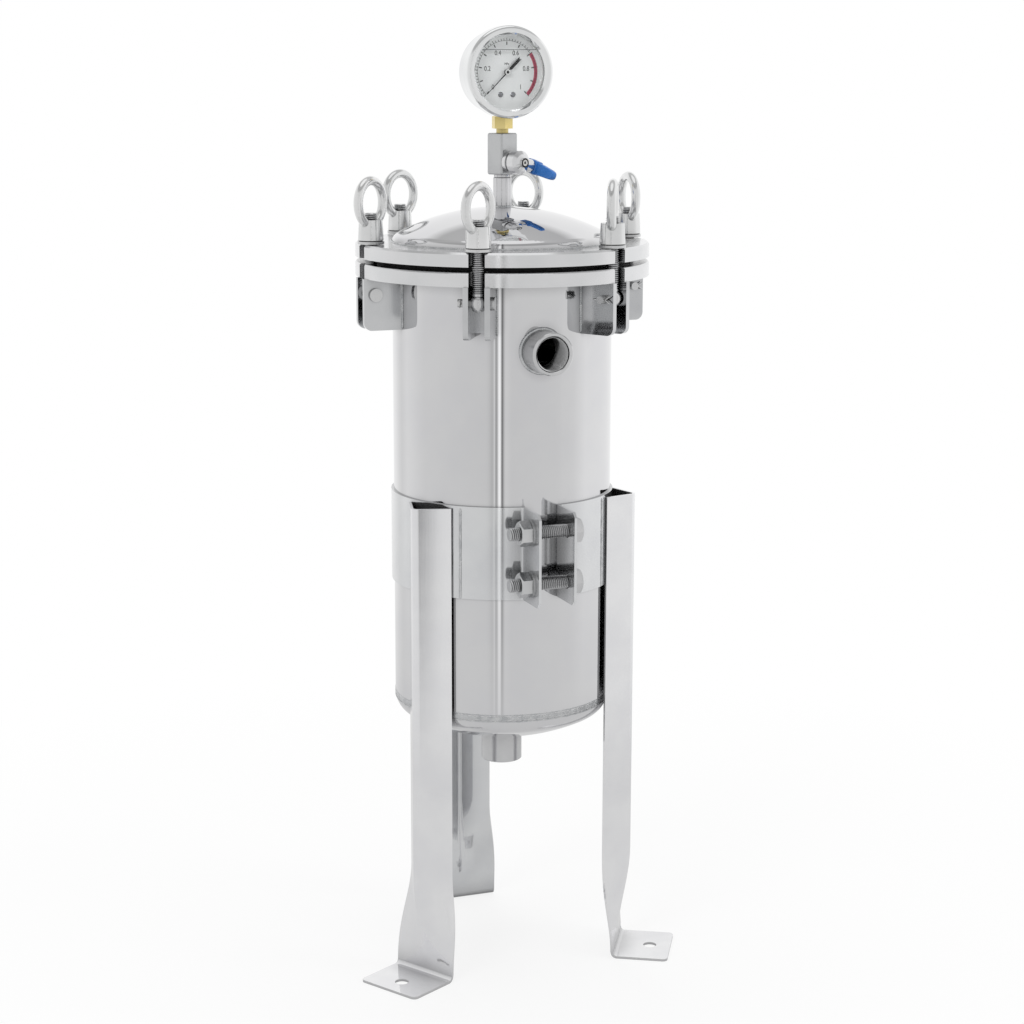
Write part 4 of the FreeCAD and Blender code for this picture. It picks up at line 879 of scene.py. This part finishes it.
@dataclass
class Vessel:
    """Shell, dished bottom, flange, gasket and pipe sockets, with their welds."""

    seam: float = 213.0
    # The bottom's seam in three passes: how far below its edge, and how wide.
    seam_passes: tuple[tuple[float, float], ...] = ((0.3, 0.5), (2.6, 1.5), (5.2, 0.6))
    inlet_height: float = 490.0
    outlet_root: float = 178.6
    socket_radius: float = 15.85
    socket_bore: float = 12.05
    thread_depth: float = 1.05
    thread_pitch: float = 1.814
    inlet_span: tuple[float, float] = (79.0, 106.0)
    outlet_span: tuple[float, float] = (-181.5, -153.5)
    mouth_edge: float = 1.2
    weld_off: float = 0.6

    def socket(self, root: float, mouth: float) -> Mesh:
        """Return a pipe socket along +Z with its inner thread, from root to mouth in millimetres."""
        outer, edge = self.socket_radius, self.mouth_edge / 2
        groove = self.socket_bore + self.thread_depth
        outside = [(groove, root), (outer, root), (outer, mouth - edge), (outer - edge, mouth)]
        skin = turned([*outside, (groove + 0.4, mouth), (groove - 0.15, mouth - edge)], 72, closed=False)
        absorb(skin, screw_thread(self.socket_bore, groove, self.thread_pitch, root, mouth - edge, 48))
        return skin

    def sockets(self) -> None:
        """Build the threaded inlet and outlet sockets."""
        inlet = shift(0, 0, self.inlet_height) @ TO_FRONT
        outlet = Matrix.Rotation(math.pi, 4, "X")
        for side, span, place in (("inlet", self.inlet_span, inlet), ("outlet", self.outlet_span, outlet)):
            bm = self.socket(*span)
            piece(bm, f"threaded_{side}", "root", SOCKET, [f"{side}_socket"], place=place)

    def saddle_line(self, radius: float) -> Line:
        """Return the line of the weld where the inlet socket meets the shell."""

        def point(turn: float) -> Vector:
            """Return the point of the saddle at an angle round the socket."""
            x, z = radius * math.cos(turn), radius * math.sin(turn)
            return Vector((x, -math.sqrt(SHELL_RADIUS**2 - x**2), self.inlet_height + z)) * MM

        def line(distance: float) -> Matrix:
            """Return the place at a distance round the saddle."""
            turn = distance / radius
            spread = Vector((math.cos(turn), -1.0, math.sin(turn)))
            return frame_at(point(turn), point(turn + 0.02) - point(turn - 0.02), spread)

        return line

    def welds(self) -> None:
        """Lay the seam of the bottom, the sockets' roots and the fillet under the flange."""
        bm = bmesh.new()
        for seed, (drop, across) in enumerate(self.seam_passes, start=15):
            WeldRun(across, 0.12, 1.3, seed, 0.3).ring(bm, SHELL_RADIUS, self.seam - drop, 0)
        piece(bm, "bottom_seam_weld", "root", WELD, sharp=ROUND_FORM)
        bm = bmesh.new()
        reach = self.socket_radius + self.weld_off
        WeldRun(1.8, 1.2, 1.5, 12, 0.06).lay(bm, self.saddle_line(reach), FULL_TURN * reach)
        WeldRun(1.3, 0.9, 1.5, 13, 0.06).ring(bm, reach, self.outlet_root, -45)
        piece(bm, "socket_welds", "root", WELD, sharp=ROUND_FORM)
        bm = bmesh.new()
        WeldRun(1.1, 0.7, 1.5, 14, 0.06).ring(bm, SHELL_RADIUS, FLANGE_UNDER - 0.4, -45, off=0.5)
        piece(bm, "flange_fillet_weld", "root", WELD, sharp=ROUND_FORM)

    def build(self, nodes: Nodes) -> None:
        """Dress the CAD nodes and add the sockets and welds."""
        dress(nodes, MIRROR, ("vessel_shell", "bottom_dish"))
        dress(nodes, FACED, ("body_flange", "body_flange_lobes", "basket_seat_ring"))
        dress(nodes, RUBBER, ("flange_gasket",))
        self.sockets()
        self.welds()


@dataclass
class Lid:
    """Lid flange and dome, with the pipe and the tee block in its crown."""

    pipe_radius: float = 7.0
    crown: float = 590.2

    def welds(self) -> None:
        """Lay the ring where the dome meets its flange and the one round the pipe."""
        bm = bmesh.new()
        WeldRun(0.9, 0.5, 1.5, 21, 0.06).ring(bm, SHELL_RADIUS, LID_TOP + 0.1, 45, off=0.7)
        piece(bm, "dome_weld", "lid", WELD, sharp=ROUND_FORM)
        bm = bmesh.new()
        WeldRun(1.2, 1.0, 1.2, 22).ring(bm, self.pipe_radius, self.crown + 0.1, 45, off=0.3)
        piece(bm, "pipe_weld", "lid", WELD, sharp=ROUND_FORM)

    def build(self, nodes: Nodes) -> None:
        """Dress the CAD nodes and add the welds."""
        dress(nodes, MIRROR, ("lid_dome", "nipple"))
        dress(nodes, FACED, ("lid_flange", "lid_flange_lobes"))
        dress(nodes, MILLED, ("tee_block",))
        self.welds()


@dataclass
class Closure:
    """Six swing bolts with eye nuts, washers, hinge lugs and split pins."""

    pivot: float = 527.5
    bolt_top: float = 588.0
    thread_start: float = 535.0
    neck: float = 4.75
    eye_radius: float = 6.75
    eye_width: float = 8.5
    pin_hole: float = 3.05
    # Half the space between a lug's ears, how far the ears hang down, and the welds on their edges.
    lug_half: float = 10.0
    lug_drop: float = 38.7
    ear_weld: float = 34.0
    top_weld: float = 16.0
    top_weld_from: float = 88.0

    def bolt(self) -> Mesh:
        """Return one swing bolt on the Z axis: eye, neck and thread."""
        end = self.bolt_top - 0.2
        shank = turned(
            [
                (self.neck * 0.8, self.pivot + 4.9),
                (self.neck, self.pivot + 5.4),
                (self.neck, self.thread_start - 0.5),
                (THREAD_ROOT, self.thread_start + 0.3),
                (THREAD_ROOT - 0.02, end),
                (0.0, self.bolt_top),
            ],
            32,
            closed=False,
        )
        thread = screw_thread(THREAD_RADIUS, THREAD_ROOT, THREAD_PITCH, self.thread_start, end)
        point_thread(thread, end, 1)
        absorb(shank, thread)
        half = self.eye_width / 2
        heights = (-half, -3.4, -2.4, -1.2, 0.0, 1.2, 2.4, 3.4, half)
        flank = [(math.sqrt(self.eye_radius**2 - z**2), z) for z in heights]
        eye = turned([(self.pin_hole, -half), *flank, (self.pin_hole, half)], 40)
        absorb(shank, eye, shift(0, 0, self.pivot) @ TO_FRONT)
        return shank

    def bolts(self) -> None:
        """Stand a threaded swing bolt at each bearing."""
        for number, bearing in enumerate(BOLT_BEARINGS, start=1):
            place = at_bearing(bearing) @ shift(BOLT_CIRCLE, 0, 0)
            bm, node = self.bolt(), f"swing_bolt_{number}"
            piece(bm, f"threaded_{node}", f"bolt_{number}", ROLLED, [node], place=place)

    def lug_welds(self) -> None:
        """Lay the short welds that hold each lug to the shell and under the flange."""
        bm = bmesh.new()
        half = self.lug_half
        root = math.sqrt(SHELL_RADIUS**2 - half**2) + 0.3
        for number, bearing in enumerate(BOLT_BEARINGS):
            turn = at_bearing(bearing)
            for side in (-1, 1):
                corner = turn @ Vector((root, side * (half + 0.3), FLANGE_UNDER - self.lug_drop + 2))
                upright = straight_line(corner, UP, turn @ Vector((0.5, side, 0)))
                WeldRun(0.9, 0.6, 1.4, 31 + number).lay(bm, upright, self.ear_weld)
                start = turn @ Vector((self.top_weld_from, side * (half + 0.4), FLANGE_UNDER - 0.5))
                under = straight_line(start, turn @ Vector((1, 0, 0)), turn @ Vector((0, side, -1)))
                WeldRun(1.1, 0.9, 1.5, 41 + number).lay(bm, under, self.top_weld)
        piece(bm, "lug_welds", "root", WELD, sharp=ROUND_FORM)

    def build(self, nodes: Nodes) -> None:
        """Dress the CAD nodes and add the bolts and welds."""
        numbers = range(1, len(BOLT_BEARINGS) + 1)
        dress(nodes, FORGED, [f"eye_nut_{n}" for n in numbers])
        dress(nodes, FASTENER, ["hinge_pins", "split_pins", *(f"washer_{n}" for n in numbers)])
        dress(nodes, FOLDED, [f"hinge_lug_{n}" for n in numbers])
        self.bolts()
        self.lug_welds()


@dataclass
class Stand:
    """Strap, its two clamp bolts and the three legs of bent strip."""

    # Bearing of each leg, and which of its edges carry a bead.
    leg_runs: tuple[tuple[float, tuple[int, ...]], ...] = ((-60.0, (1,)), (60.0, (-1,)), (180.0, (-1, 1)))
    clamp_axis: float = 102.5
    clamp_heights: tuple[float, float] = (319.1, 357.9)
    bolt_span: tuple[float, float] = (-33.0, 17.0)
    head_flats: float = 17.0
    head_thick: float = 6.4
    # Radius of the flat circle on the head, as a share of its width, and the slope of its corners.
    head_circle: float = 0.475
    head_slope: float = 30.0
    strap_thick: float = 2.2
    weld_reach: float = 27.3
    leg_weld: float = 67.0

    def head(self) -> Mesh:
        """Return the hexagon head of a clamp bolt along +Z, with its outer corners turned off."""
        low, high = self.bolt_span[1], self.bolt_span[1] + self.head_thick
        radius = self.head_flats / math.sqrt(3) * MM
        middle = shift(0, 0, (low + high) / 2)
        depth = (high - low) * MM
        bm = bmesh.new()
        bmesh.ops.create_cone(
            bm, cap_ends=True, segments=6, radius1=radius, radius2=radius, depth=depth, matrix=middle
        )
        slope, cuts = math.radians(self.head_slope), 36
        for step in range(cuts):
            turn = Matrix.Rotation(FULL_TURN * step / cuts, 3, "Z")
            edge = turn @ Vector((self.head_flats * self.head_circle * MM, 0, high * MM))
            cut_off(bm, edge, turn @ Vector((math.sin(slope), 0, math.cos(slope))))
            fill_holes(bm)
        return bm

    def clamp_bolts(self) -> None:
        """Build the two fully threaded bolts through the clamp ears."""
        whole = bmesh.new()
        lie = Matrix.Rotation(math.pi / 2, 4, "Y")
        for height in self.clamp_heights:
            bm = screw_thread(THREAD_RADIUS, THREAD_ROOT, THREAD_PITCH, *self.bolt_span)
            point_thread(bm, self.bolt_span[0], -1)
            fill_holes(bm)
            face_outwards(bm)
            absorb(bm, self.head())
            absorb(whole, bm, shift(0, -self.clamp_axis, height) @ lie)
        piece(whole, "threaded_clamp_bolts", "root", ROLLED, ["strap_bolts"])

    def leg_welds(self) -> None:
        """Lay the beads where the edges of each leg stand on the strap."""
        bm = bmesh.new()
        for number, (bearing, sides) in enumerate(self.leg_runs):
            turn = at_bearing(bearing)
            for side in sides:
                y = side * self.weld_reach
                x = math.sqrt((SHELL_RADIUS + self.strap_thick) ** 2 - y**2)
                start, out = Vector((x, y, STRAP_UNDER + 1)), Vector((x * 0.6, y * 2.2, 0))
                bead = WeldRun(1.0, 0.55, 1.4, 51 + 2 * number + side, 0.2)
                bead.lay(bm, straight_line(turn @ start, UP, turn @ out), self.leg_weld)
        piece(bm, "leg_welds", "root", WELD, sharp=ROUND_FORM)

    def build(self, nodes: Nodes) -> None:
        """Dress the CAD nodes and add the bolts and welds."""
        dress(nodes, STRIP, ("leg_left", "leg_right"))
        dress(nodes, BAND, ("support_strap", "leg_rear"))
        dress(nodes, FASTENER, ("strap_nuts", "strap_washers"))
        self.clamp_bolts()
        self.leg_welds()


@dataclass
class Gauge:
    """Pressure gauge: case, bezel, window, printed dial and pointer."""

    # The dial's face and the window's inner side, in front of the gauge's axis.
    face: float = -8.5
    window: float = 12.5
    # Angle of the first reading, and how far the last one is from it.
    zero: float = 225.0
    sweep: float = 270.0
    divisions: int = 10
    fine: int = 5
    red_from: float = 0.7
    # Inner and outer radius and width of the ticks; the long ones stand at the bold ones.
    bold_tick: tuple[float, float, float] = (20.0, 22.4, 0.75)
    fine_tick: tuple[float, float, float] = (23.2, 24.7, 0.36)
    long_tick: tuple[float, float, float] = (23.2, 25.2, 0.36)
    # Inner and outer radius of the thin arc and the red one.
    thin_arc: tuple[float, float] = (23.1, 23.3)
    red_arc: tuple[float, float] = (21.9, 24.6)
    # Radius of the middles, and size, of the numbers and of the unit.
    numbers: tuple[float, float] = (15.6, 5.0)
    unit: tuple[float, float] = (6.0, 2.6)
    ink: float = 0.06
    screw_place: tuple[float, float] = (4.9, -16.5)
    screw_turn: float = 25.0
    # Radii of the white sleeve: at the window, at the dial and outside.
    sleeve: tuple[float, float, float] = (27.8, 28.2, 30.1)
    liquid: float = 16.5

    def spot(self, radius: float, angle: float, lift: float) -> Vector:
        """Return a point over the dial in metres, at an angle anticlockwise from the right."""
        turn = math.radians(angle)
        x, z = radius * math.cos(turn), radius * math.sin(turn)
        return Vector((x, self.face - lift, GAUGE_HEIGHT + z)) * MM

    def at(self, share: float) -> float:
        """Return the angle of a reading from 0 to 1."""
        return self.zero - self.sweep * share

    def stroke(self, bm: Mesh, angle: float, start: float, end: float, width: float) -> None:
        """Print one radial line between two radii in millimetres."""
        middle = Matrix.Translation(self.spot((start + end) / 2, angle, self.ink))
        add_box(bm, (end - start, 0.04, width), middle @ Matrix.Rotation(-math.radians(angle), 4, "Y"))

    def arc(self, bm: Mesh, start: float, end: float, low: float, high: float) -> None:
        """Print an arc band from one angle down to another, between two radii in millimetres."""
        corners = ((low, 0.0), (high, 0.0), (high, 0.07), (low, 0.07))
        face = bm.faces.new([bm.verts.new(self.spot(radius, start, lift)) for radius, lift in corners])
        bmesh.ops.spin(
            bm,
            geom=[face],
            cent=(0, 0, GAUGE_HEIGHT * MM),
            axis=(0, 1, 0),
            angle=math.radians(start - end),
            steps=max(4, round((start - end) / 3)),
            use_merge=False,
        )
        face_outwards(bm)

    def text(self, bm: Mesh, text: str, angle: float, radius: float, size: float) -> None:
        """Print a text on the dial.

        Args:
            bm: The mesh that gets it.
            text: What is printed.
            angle: Angle of its middle, anticlockwise from the right.
            radius: Radius of its middle in millimetres.
            size: Its size in millimetres.
        """
        curve = bpy.data.curves.new("number", "FONT")
        curve.body, curve.size, curve.align_x, curve.align_y = text, size * MM, "CENTER", "CENTER"
        curve.extrude = 0.02 * MM
        held = bpy.data.objects.new("number", curve)
        mesh = bpy.data.meshes.new_from_object(held)
        narrow = Matrix.Diagonal((0.86, 1, 1, 1))
        mesh.transform(Matrix.Translation(self.spot(radius, angle, self.ink)) @ TO_FRONT @ narrow)
        bm.from_mesh(mesh)
        bpy.data.objects.remove(held)
        bpy.data.curves.remove(curve)
        bpy.data.meshes.remove(mesh)

    def print_dial(self) -> None:
        """Print the two scales, the numbers and the red arc."""
        bm = bmesh.new()
        steps = self.divisions * self.fine
        for step in range(steps + 1):
            ticks = (self.fine_tick,) if step % self.fine else (self.bold_tick, self.long_tick)
            for tick in ticks:
                self.stroke(bm, self.at(step / steps), *tick)
        self.arc(bm, self.at(0), self.at(1), *self.thin_arc)
        for share in (0.0, 0.2, 0.4, 0.6, 0.8, 1.0):
            self.text(bm, f"{share:g}", self.at(share), *self.numbers)
        self.text(bm, "MPa", 90.0, *self.unit)
        piece(bm, "dial_scale", "lid", INK_BLACK, sharp=ROUND_FORM)
        bm = bmesh.new()
        self.arc(bm, self.at(self.red_from), self.at(1), *self.red_arc)
        piece(bm, "dial_red_arc", "lid", INK_RED, sharp=ROUND_FORM)

    def screws(self) -> None:
        """Add the dial's two screws, each with a raised bar beside its slot."""
        bm = bmesh.new()
        side, height = self.screw_place
        for x in (-side, side):
            screw = turned([(0, 0), (2.0, 0), (2.0, 0.3), (1.4, 0.8), (0, 0.9)], 24, closed=False)
            bar = bmesh.new()
            add_box(bar, (2.2, 0.4, 0.3), shift(0, 0, 0.8))
            absorb(screw, bar, Matrix.Rotation(math.radians(self.screw_turn), 4, "Z"))
            absorb(bm, screw, shift(x, self.face, GAUGE_HEIGHT + height) @ TO_FRONT)
        piece(bm, "dial_screws", "lid", BLUED)

    def fittings(self) -> None:
        """Add the sleeve behind the window, the level of the liquid and the pointer's ring."""
        facing = shift(0, 0, GAUGE_HEIGHT) @ TO_FRONT
        low, high = -self.face + 0.02, self.window - 0.05
        near, far, outer = self.sleeve
        sleeve = turned([(far, low), (outer, low), (outer, high), (near, high), (near, high - 0.8)], 96)
        piece(sleeve, "window_sleeve", "lid", WHITE_LACQUER, place=facing)
        # The level is a painted dark line: a grey strip for the light that the meniscus bends away.
        level = bmesh.new()
        half = math.sqrt((near - 0.2) ** 2 - self.liquid**2)
        add_box(level, (2 * half, 1.2, 0.5), shift(0, 0.7 - self.window, GAUGE_HEIGHT + self.liquid))
        piece(level, "liquid_level", "lid", MENISCUS)
        ring = turned([(1.1, 2.6), (2.15, 2.6), (2.15, 2.72), (1.95, 2.85), (1.3, 2.85), (1.1, 2.72)], 48)
        place = facing @ shift(0, 0, -self.face)
        piece(ring, "pointer_ring", "needle", WHITE_LACQUER, place=place)

    def build(self, nodes: Nodes) -> None:
        """Dress the CAD nodes and print the dial."""
        dress(nodes, PRESSED, ("gauge_case", "gauge_bezel"))
        dress(nodes, ENAMEL, ("gauge_dial",))
        dress(nodes, LACQUER, ("gauge_needle",))
        dress(nodes, GLASS, ("gauge_lens",))
        dress(nodes, BRASS, ("gauge_stem", "gauge_movement"))
        self.print_dial()
        self.screws()
        self.fittings()


@dataclass
class Vent:
    """Small ball valve on the side of the tee block."""

    bearing: float = 22.0
    roll: float = 13.0
    height: float = 623.95
    middle: float = 17.5
    mouth: float = 25.5
    head_size: tuple[float, float] = (11.2, 10.4)
    lever_base: float = 13.0
    lever_thick: float = 7.5
    lever_turn: float = 15.0
    # Under and upper side of the arm above the lever's base, and its reach.
    arm_span: tuple[float, float] = (1.25, 6.25)
    arm_length: float = 25.0
    groove_edge: float = 0.9
    groove_depth: float = 1.6

    def flow_frame(self) -> Matrix:
        """Return the valve's own frame: +X along the flow, +Z along the stem."""
        tilt = Matrix.Rotation(math.radians(-90 - self.roll), 4, "X")
        return shift(0, 0, self.height) @ at_bearing(self.bearing) @ tilt

    def seat(self) -> None:
        """Put the PTFE insert and the rubber ring round it in the mouth of the vent, with a black disc in the
        insert's bore as painted shade.
        """
        lie = self.flow_frame() @ shift(self.mouth, 0, 0) @ Matrix.Rotation(math.pi / 2, 4, "Y")
        insert = turned([(1.1, -1.6), (2.4, -1.6), (2.4, 0.0), (2.2, 0.12), (1.3, 0.12), (1.1, 0.0)], 48)
        piece(insert, "vent_insert", "lid", PTFE, place=lie)
        ring = turned([(2.35, -0.3), (3.55, -0.3), (3.55, 0.1), (3.3, 0.25), (2.6, 0.25), (2.35, 0.1)], 48)
        # The black disc deep in the insert's bore is painted shade: it stands for the dark of the open hole.
        absorb(ring, turned([(0.0, -0.9), (1.15, -0.9), (1.15, -0.5), (0.0, -0.45)], 32, closed=False))
        piece(ring, "vent_seal", "lid", RUBBER, place=lie)

    def arm(self) -> Mesh:
        """Return the lever's tapered arm along +X, with a rounded tip and a thumb groove."""
        low, high = (self.lever_base + side for side in self.arm_span)
        tip = self.arm_length
        rounding = ((tip - 4.2, 3.6), (tip - 1.9, 3.0), (tip - 0.7, 1.9), (tip - 0.3, 0.7))
        plan = ((3.0, 4.4), (10.0, 4.4), *rounding)
        around = [(x, -y) for x, y in plan] + [(x, y) for x, y in plan[::-1]]
        arm = bmesh.new()
        upper = arm.faces.new([arm.verts.new(Vector((x, y, high)) * MM) for x, y in around])
        made = bmesh.ops.extrude_face_region(arm, geom=[upper])
        lowered = [item for item in made["geom"] if isinstance(item, bmesh.types.BMVert)]
        bmesh.ops.translate(arm, verts=lowered, vec=(0, 0, (low - high) * MM))
        face_outwards(arm)
        round_off(arm, 0.9, 60.0)
        groove = max(arm.faces, key=lambda face: face.calc_area() if face.normal.z > 0.99 else 0.0)
        bmesh.ops.inset_region(arm, faces=[groove], thickness=self.groove_edge * MM, depth=0.0)
        bmesh.ops.translate(arm, verts=groove.verts, vec=(0, 0, -self.groove_depth * MM))
        return arm

    def lever(self) -> None:
        """Mould the lever: a square head on the stem and the arm."""
        lever = bmesh.new()
        middle = shift(0, 0, self.lever_base + self.lever_thick / 2)
        add_box(lever, (*self.head_size, self.lever_thick), middle)
        round_off(lever, 1.3)
        absorb(lever, self.arm())
        turn = Matrix.Rotation(math.radians(self.lever_turn), 4, "Z")
        place = self.flow_frame() @ shift(self.middle, 0, 0) @ turn
        piece(lever, "moulded_lever", "vent_lever", NYLON, ["valve_handle"], place=place)

    def build(self, nodes: Nodes) -> None:
        """Dress the CAD nodes and add the insert and the lever."""
        dress(nodes, FACED, ("valve_body",))
        dress(nodes, FASTENER, ("valve_stem", "valve_ball"))
        self.seat()
        self.lever()


@dataclass
class FilterInsert:
    """Perforated basket and the felt bag that hangs in it."""

    ring_under: float = 463.0
    bag_radius: float = 52.5
    bag_length: float = 228.0
    bag_round: float = 26.0
    felt: float = 1.8
    end_side: float = 18.0
    end_disc: float = 36.0
    # Shares of the radius that the long folds and the small dents take off.
    fold_depth: float = 0.035
    dent_depth: float = 0.010
    basket_radius: float = 57.0
    basket_wall: float = 1.5
    basket_floor: float = 228.0
    rim_radius: float = 69.0
    rim_thick: float = 3.0
    columns: int = 60
    rows: int = 38
    holes_from: float = 246.0
    hole_radius: float = 2.0

    @property
    def pitch(self) -> float:
        """Return the distance of the basket's holes round it, in millimetres."""
        return FULL_TURN * self.basket_radius / self.columns

    @property
    def rise(self) -> float:
        """Return the distance of the rows of holes, in millimetres."""
        return self.pitch * math.sqrt(3) / 2

    def perforated_wall(self) -> Mesh:
        """Return the basket's wall: a sheet punched with staggered round holes and rolled to a tube."""
        bm = bmesh.new()
        bmesh.ops.create_grid(bm, x_segments=self.columns, y_segments=self.rows, size=0.5)
        cells = bm.faces[:]
        for vert in bm.verts:
            row = (vert.co.y + 0.5) * self.rows
            vert.co = ((vert.co.x + 0.5) * self.columns + row / 2, row, 0)
        bmesh.ops.inset_individual(bm, faces=cells, thickness=0.15, depth=0)
        bmesh.ops.delete(bm, geom=cells, context="FACES_ONLY")
        # The rims of the holes are the shorter open edges; the sheet's own are a whole cell long.
        rims = [e for e in bm.edges if e.is_boundary and e.calc_length() < 0.9]
        bmesh.ops.subdivide_edges(bm, edges=rims, cuts=1)
        radius, edge = self.basket_radius, 0.02
        for vert in bm.verts:
            # The place in the slanted grid of cells; what lies within a cell is its hole's rim.
            along, up = vert.co.x - vert.co.y / 2, vert.co.y
            column, row = math.floor(along), math.floor(up)
            flat = Vector((vert.co.x * self.pitch, up * self.rise))
            if edge < up - row < 1 - edge and edge < along - column < 1 - edge:
                middle = Vector(((column + 0.5 + (row + 0.5) / 2) * self.pitch, (row + 0.5) * self.rise))
                flat = middle + (flat - middle).normalized() * self.hole_radius
            turn = flat.x / radius
            x, y = radius * math.cos(turn), radius * math.sin(turn)
            vert.co = Vector((x, y, self.holes_from + flat.y)) * MM
        bmesh.ops.remove_doubles(bm, verts=bm.verts, dist=0.01 * MM)
        face_outwards(bm)
        bmesh.ops.solidify(bm, geom=bm.faces[:], thickness=self.basket_wall * MM)
        return bm

    def basket(self) -> None:
        """Build the basket: perforated wall, plain band with its rim, and pressed floor."""
        outer, inner = self.basket_radius, self.basket_radius - self.basket_wall
        floor, low = self.basket_floor, self.holes_from
        high, top = low + self.rows * self.rise, self.ring_under
        seat = top - self.rim_thick
        bm = self.perforated_wall()
        band = [(outer, high), (outer, seat), (self.rim_radius, seat), (self.rim_radius, top)]
        lip = [(inner + 0.8, top), (inner, top - 0.8), (inner, high)]
        absorb(bm, turned([*band, *lip], 120))
        under = [(0.0, floor), (outer - 3.0, floor), (outer - 0.9, floor + 0.9), (outer, floor + 3.0)]
        joint = [(outer, low), (inner, low)]
        inside = [(inner, floor + 3.0), (inner - 0.5, floor + 2.0), (inner - 1.5, floor + 1.5)]
        absorb(bm, turned([*under, *joint, *inside, (0.0, floor + 1.5)], 120, closed=False))
        piece(bm, "perforated_basket", "basket", STRIP, ["filter_basket"])

    def bag(self) -> None:
        """Build the felt bag: a sewn tube with a rounded end, limp between its seams."""
        bottom = self.ring_under - self.bag_length
        corner = self.bag_radius - self.bag_round
        arc = [
            (corner + self.bag_round * math.sin(a), bottom + self.bag_round * (1 - math.cos(a)))
            for a in (math.radians(10 * n) for n in range(1, 10))
        ]
        rise = [(self.bag_radius, bottom + self.bag_round + 11.2 * n) for n in range(1, 18)]
        outline = [(0.0, bottom), (corner * 0.5, bottom), (corner, bottom), *arc, *rise]
        bm = turned([*outline, (self.bag_radius, self.ring_under)], 72, closed=False)
        for vert in bm.verts:
            turn = math.atan2(vert.co.y, vert.co.x)
            height = (vert.co.z / MM - bottom) / self.bag_length
            slack = math.sin(math.pi * min(1.0, max(0.0, height))) ** 0.7
            fold = 0.5 + 0.5 * math.sin(5 * turn + 2.2 * math.sin(3.1 * height) + 0.7)
            dent = 0.5 + 0.5 * math.sin(11 * turn - 9 * height)
            shrink = 1 - slack * (self.fold_depth * fold + self.dent_depth * dent)
            vert.co.x, vert.co.y = vert.co.x * shrink, vert.co.y * shrink
        made = piece(bm, "felt_filter_bag", "bag", FELT, ["filter_bag"], sharp=ROUND_FORM)
        wall = made.modifiers.new("felt", "SOLIDIFY")
        wall.thickness, wall.offset = self.felt * MM, -1.0

    def build(self, nodes: Nodes) -> None:
        """Dress the CAD nodes, add the basket and hang the bag."""
        dress(nodes, FACED, ("bag_ring",))
        self.basket()
        self.bag()


def main() -> None:
    """Build the looks in order."""
    logging.basicConfig(level=logging.INFO, format="%(name)s: %(message)s")
    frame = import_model()
    Studio().build()
    nodes = frame["nodes"]
    for assembly in (Vessel(), Lid(), Closure(), Stand(), Gauge(), Vent(), FilterInsert()):
        assembly.build(nodes)
        LOG.info("built %s", type(assembly).__name__)


if __name__ == "__main__":
    main()
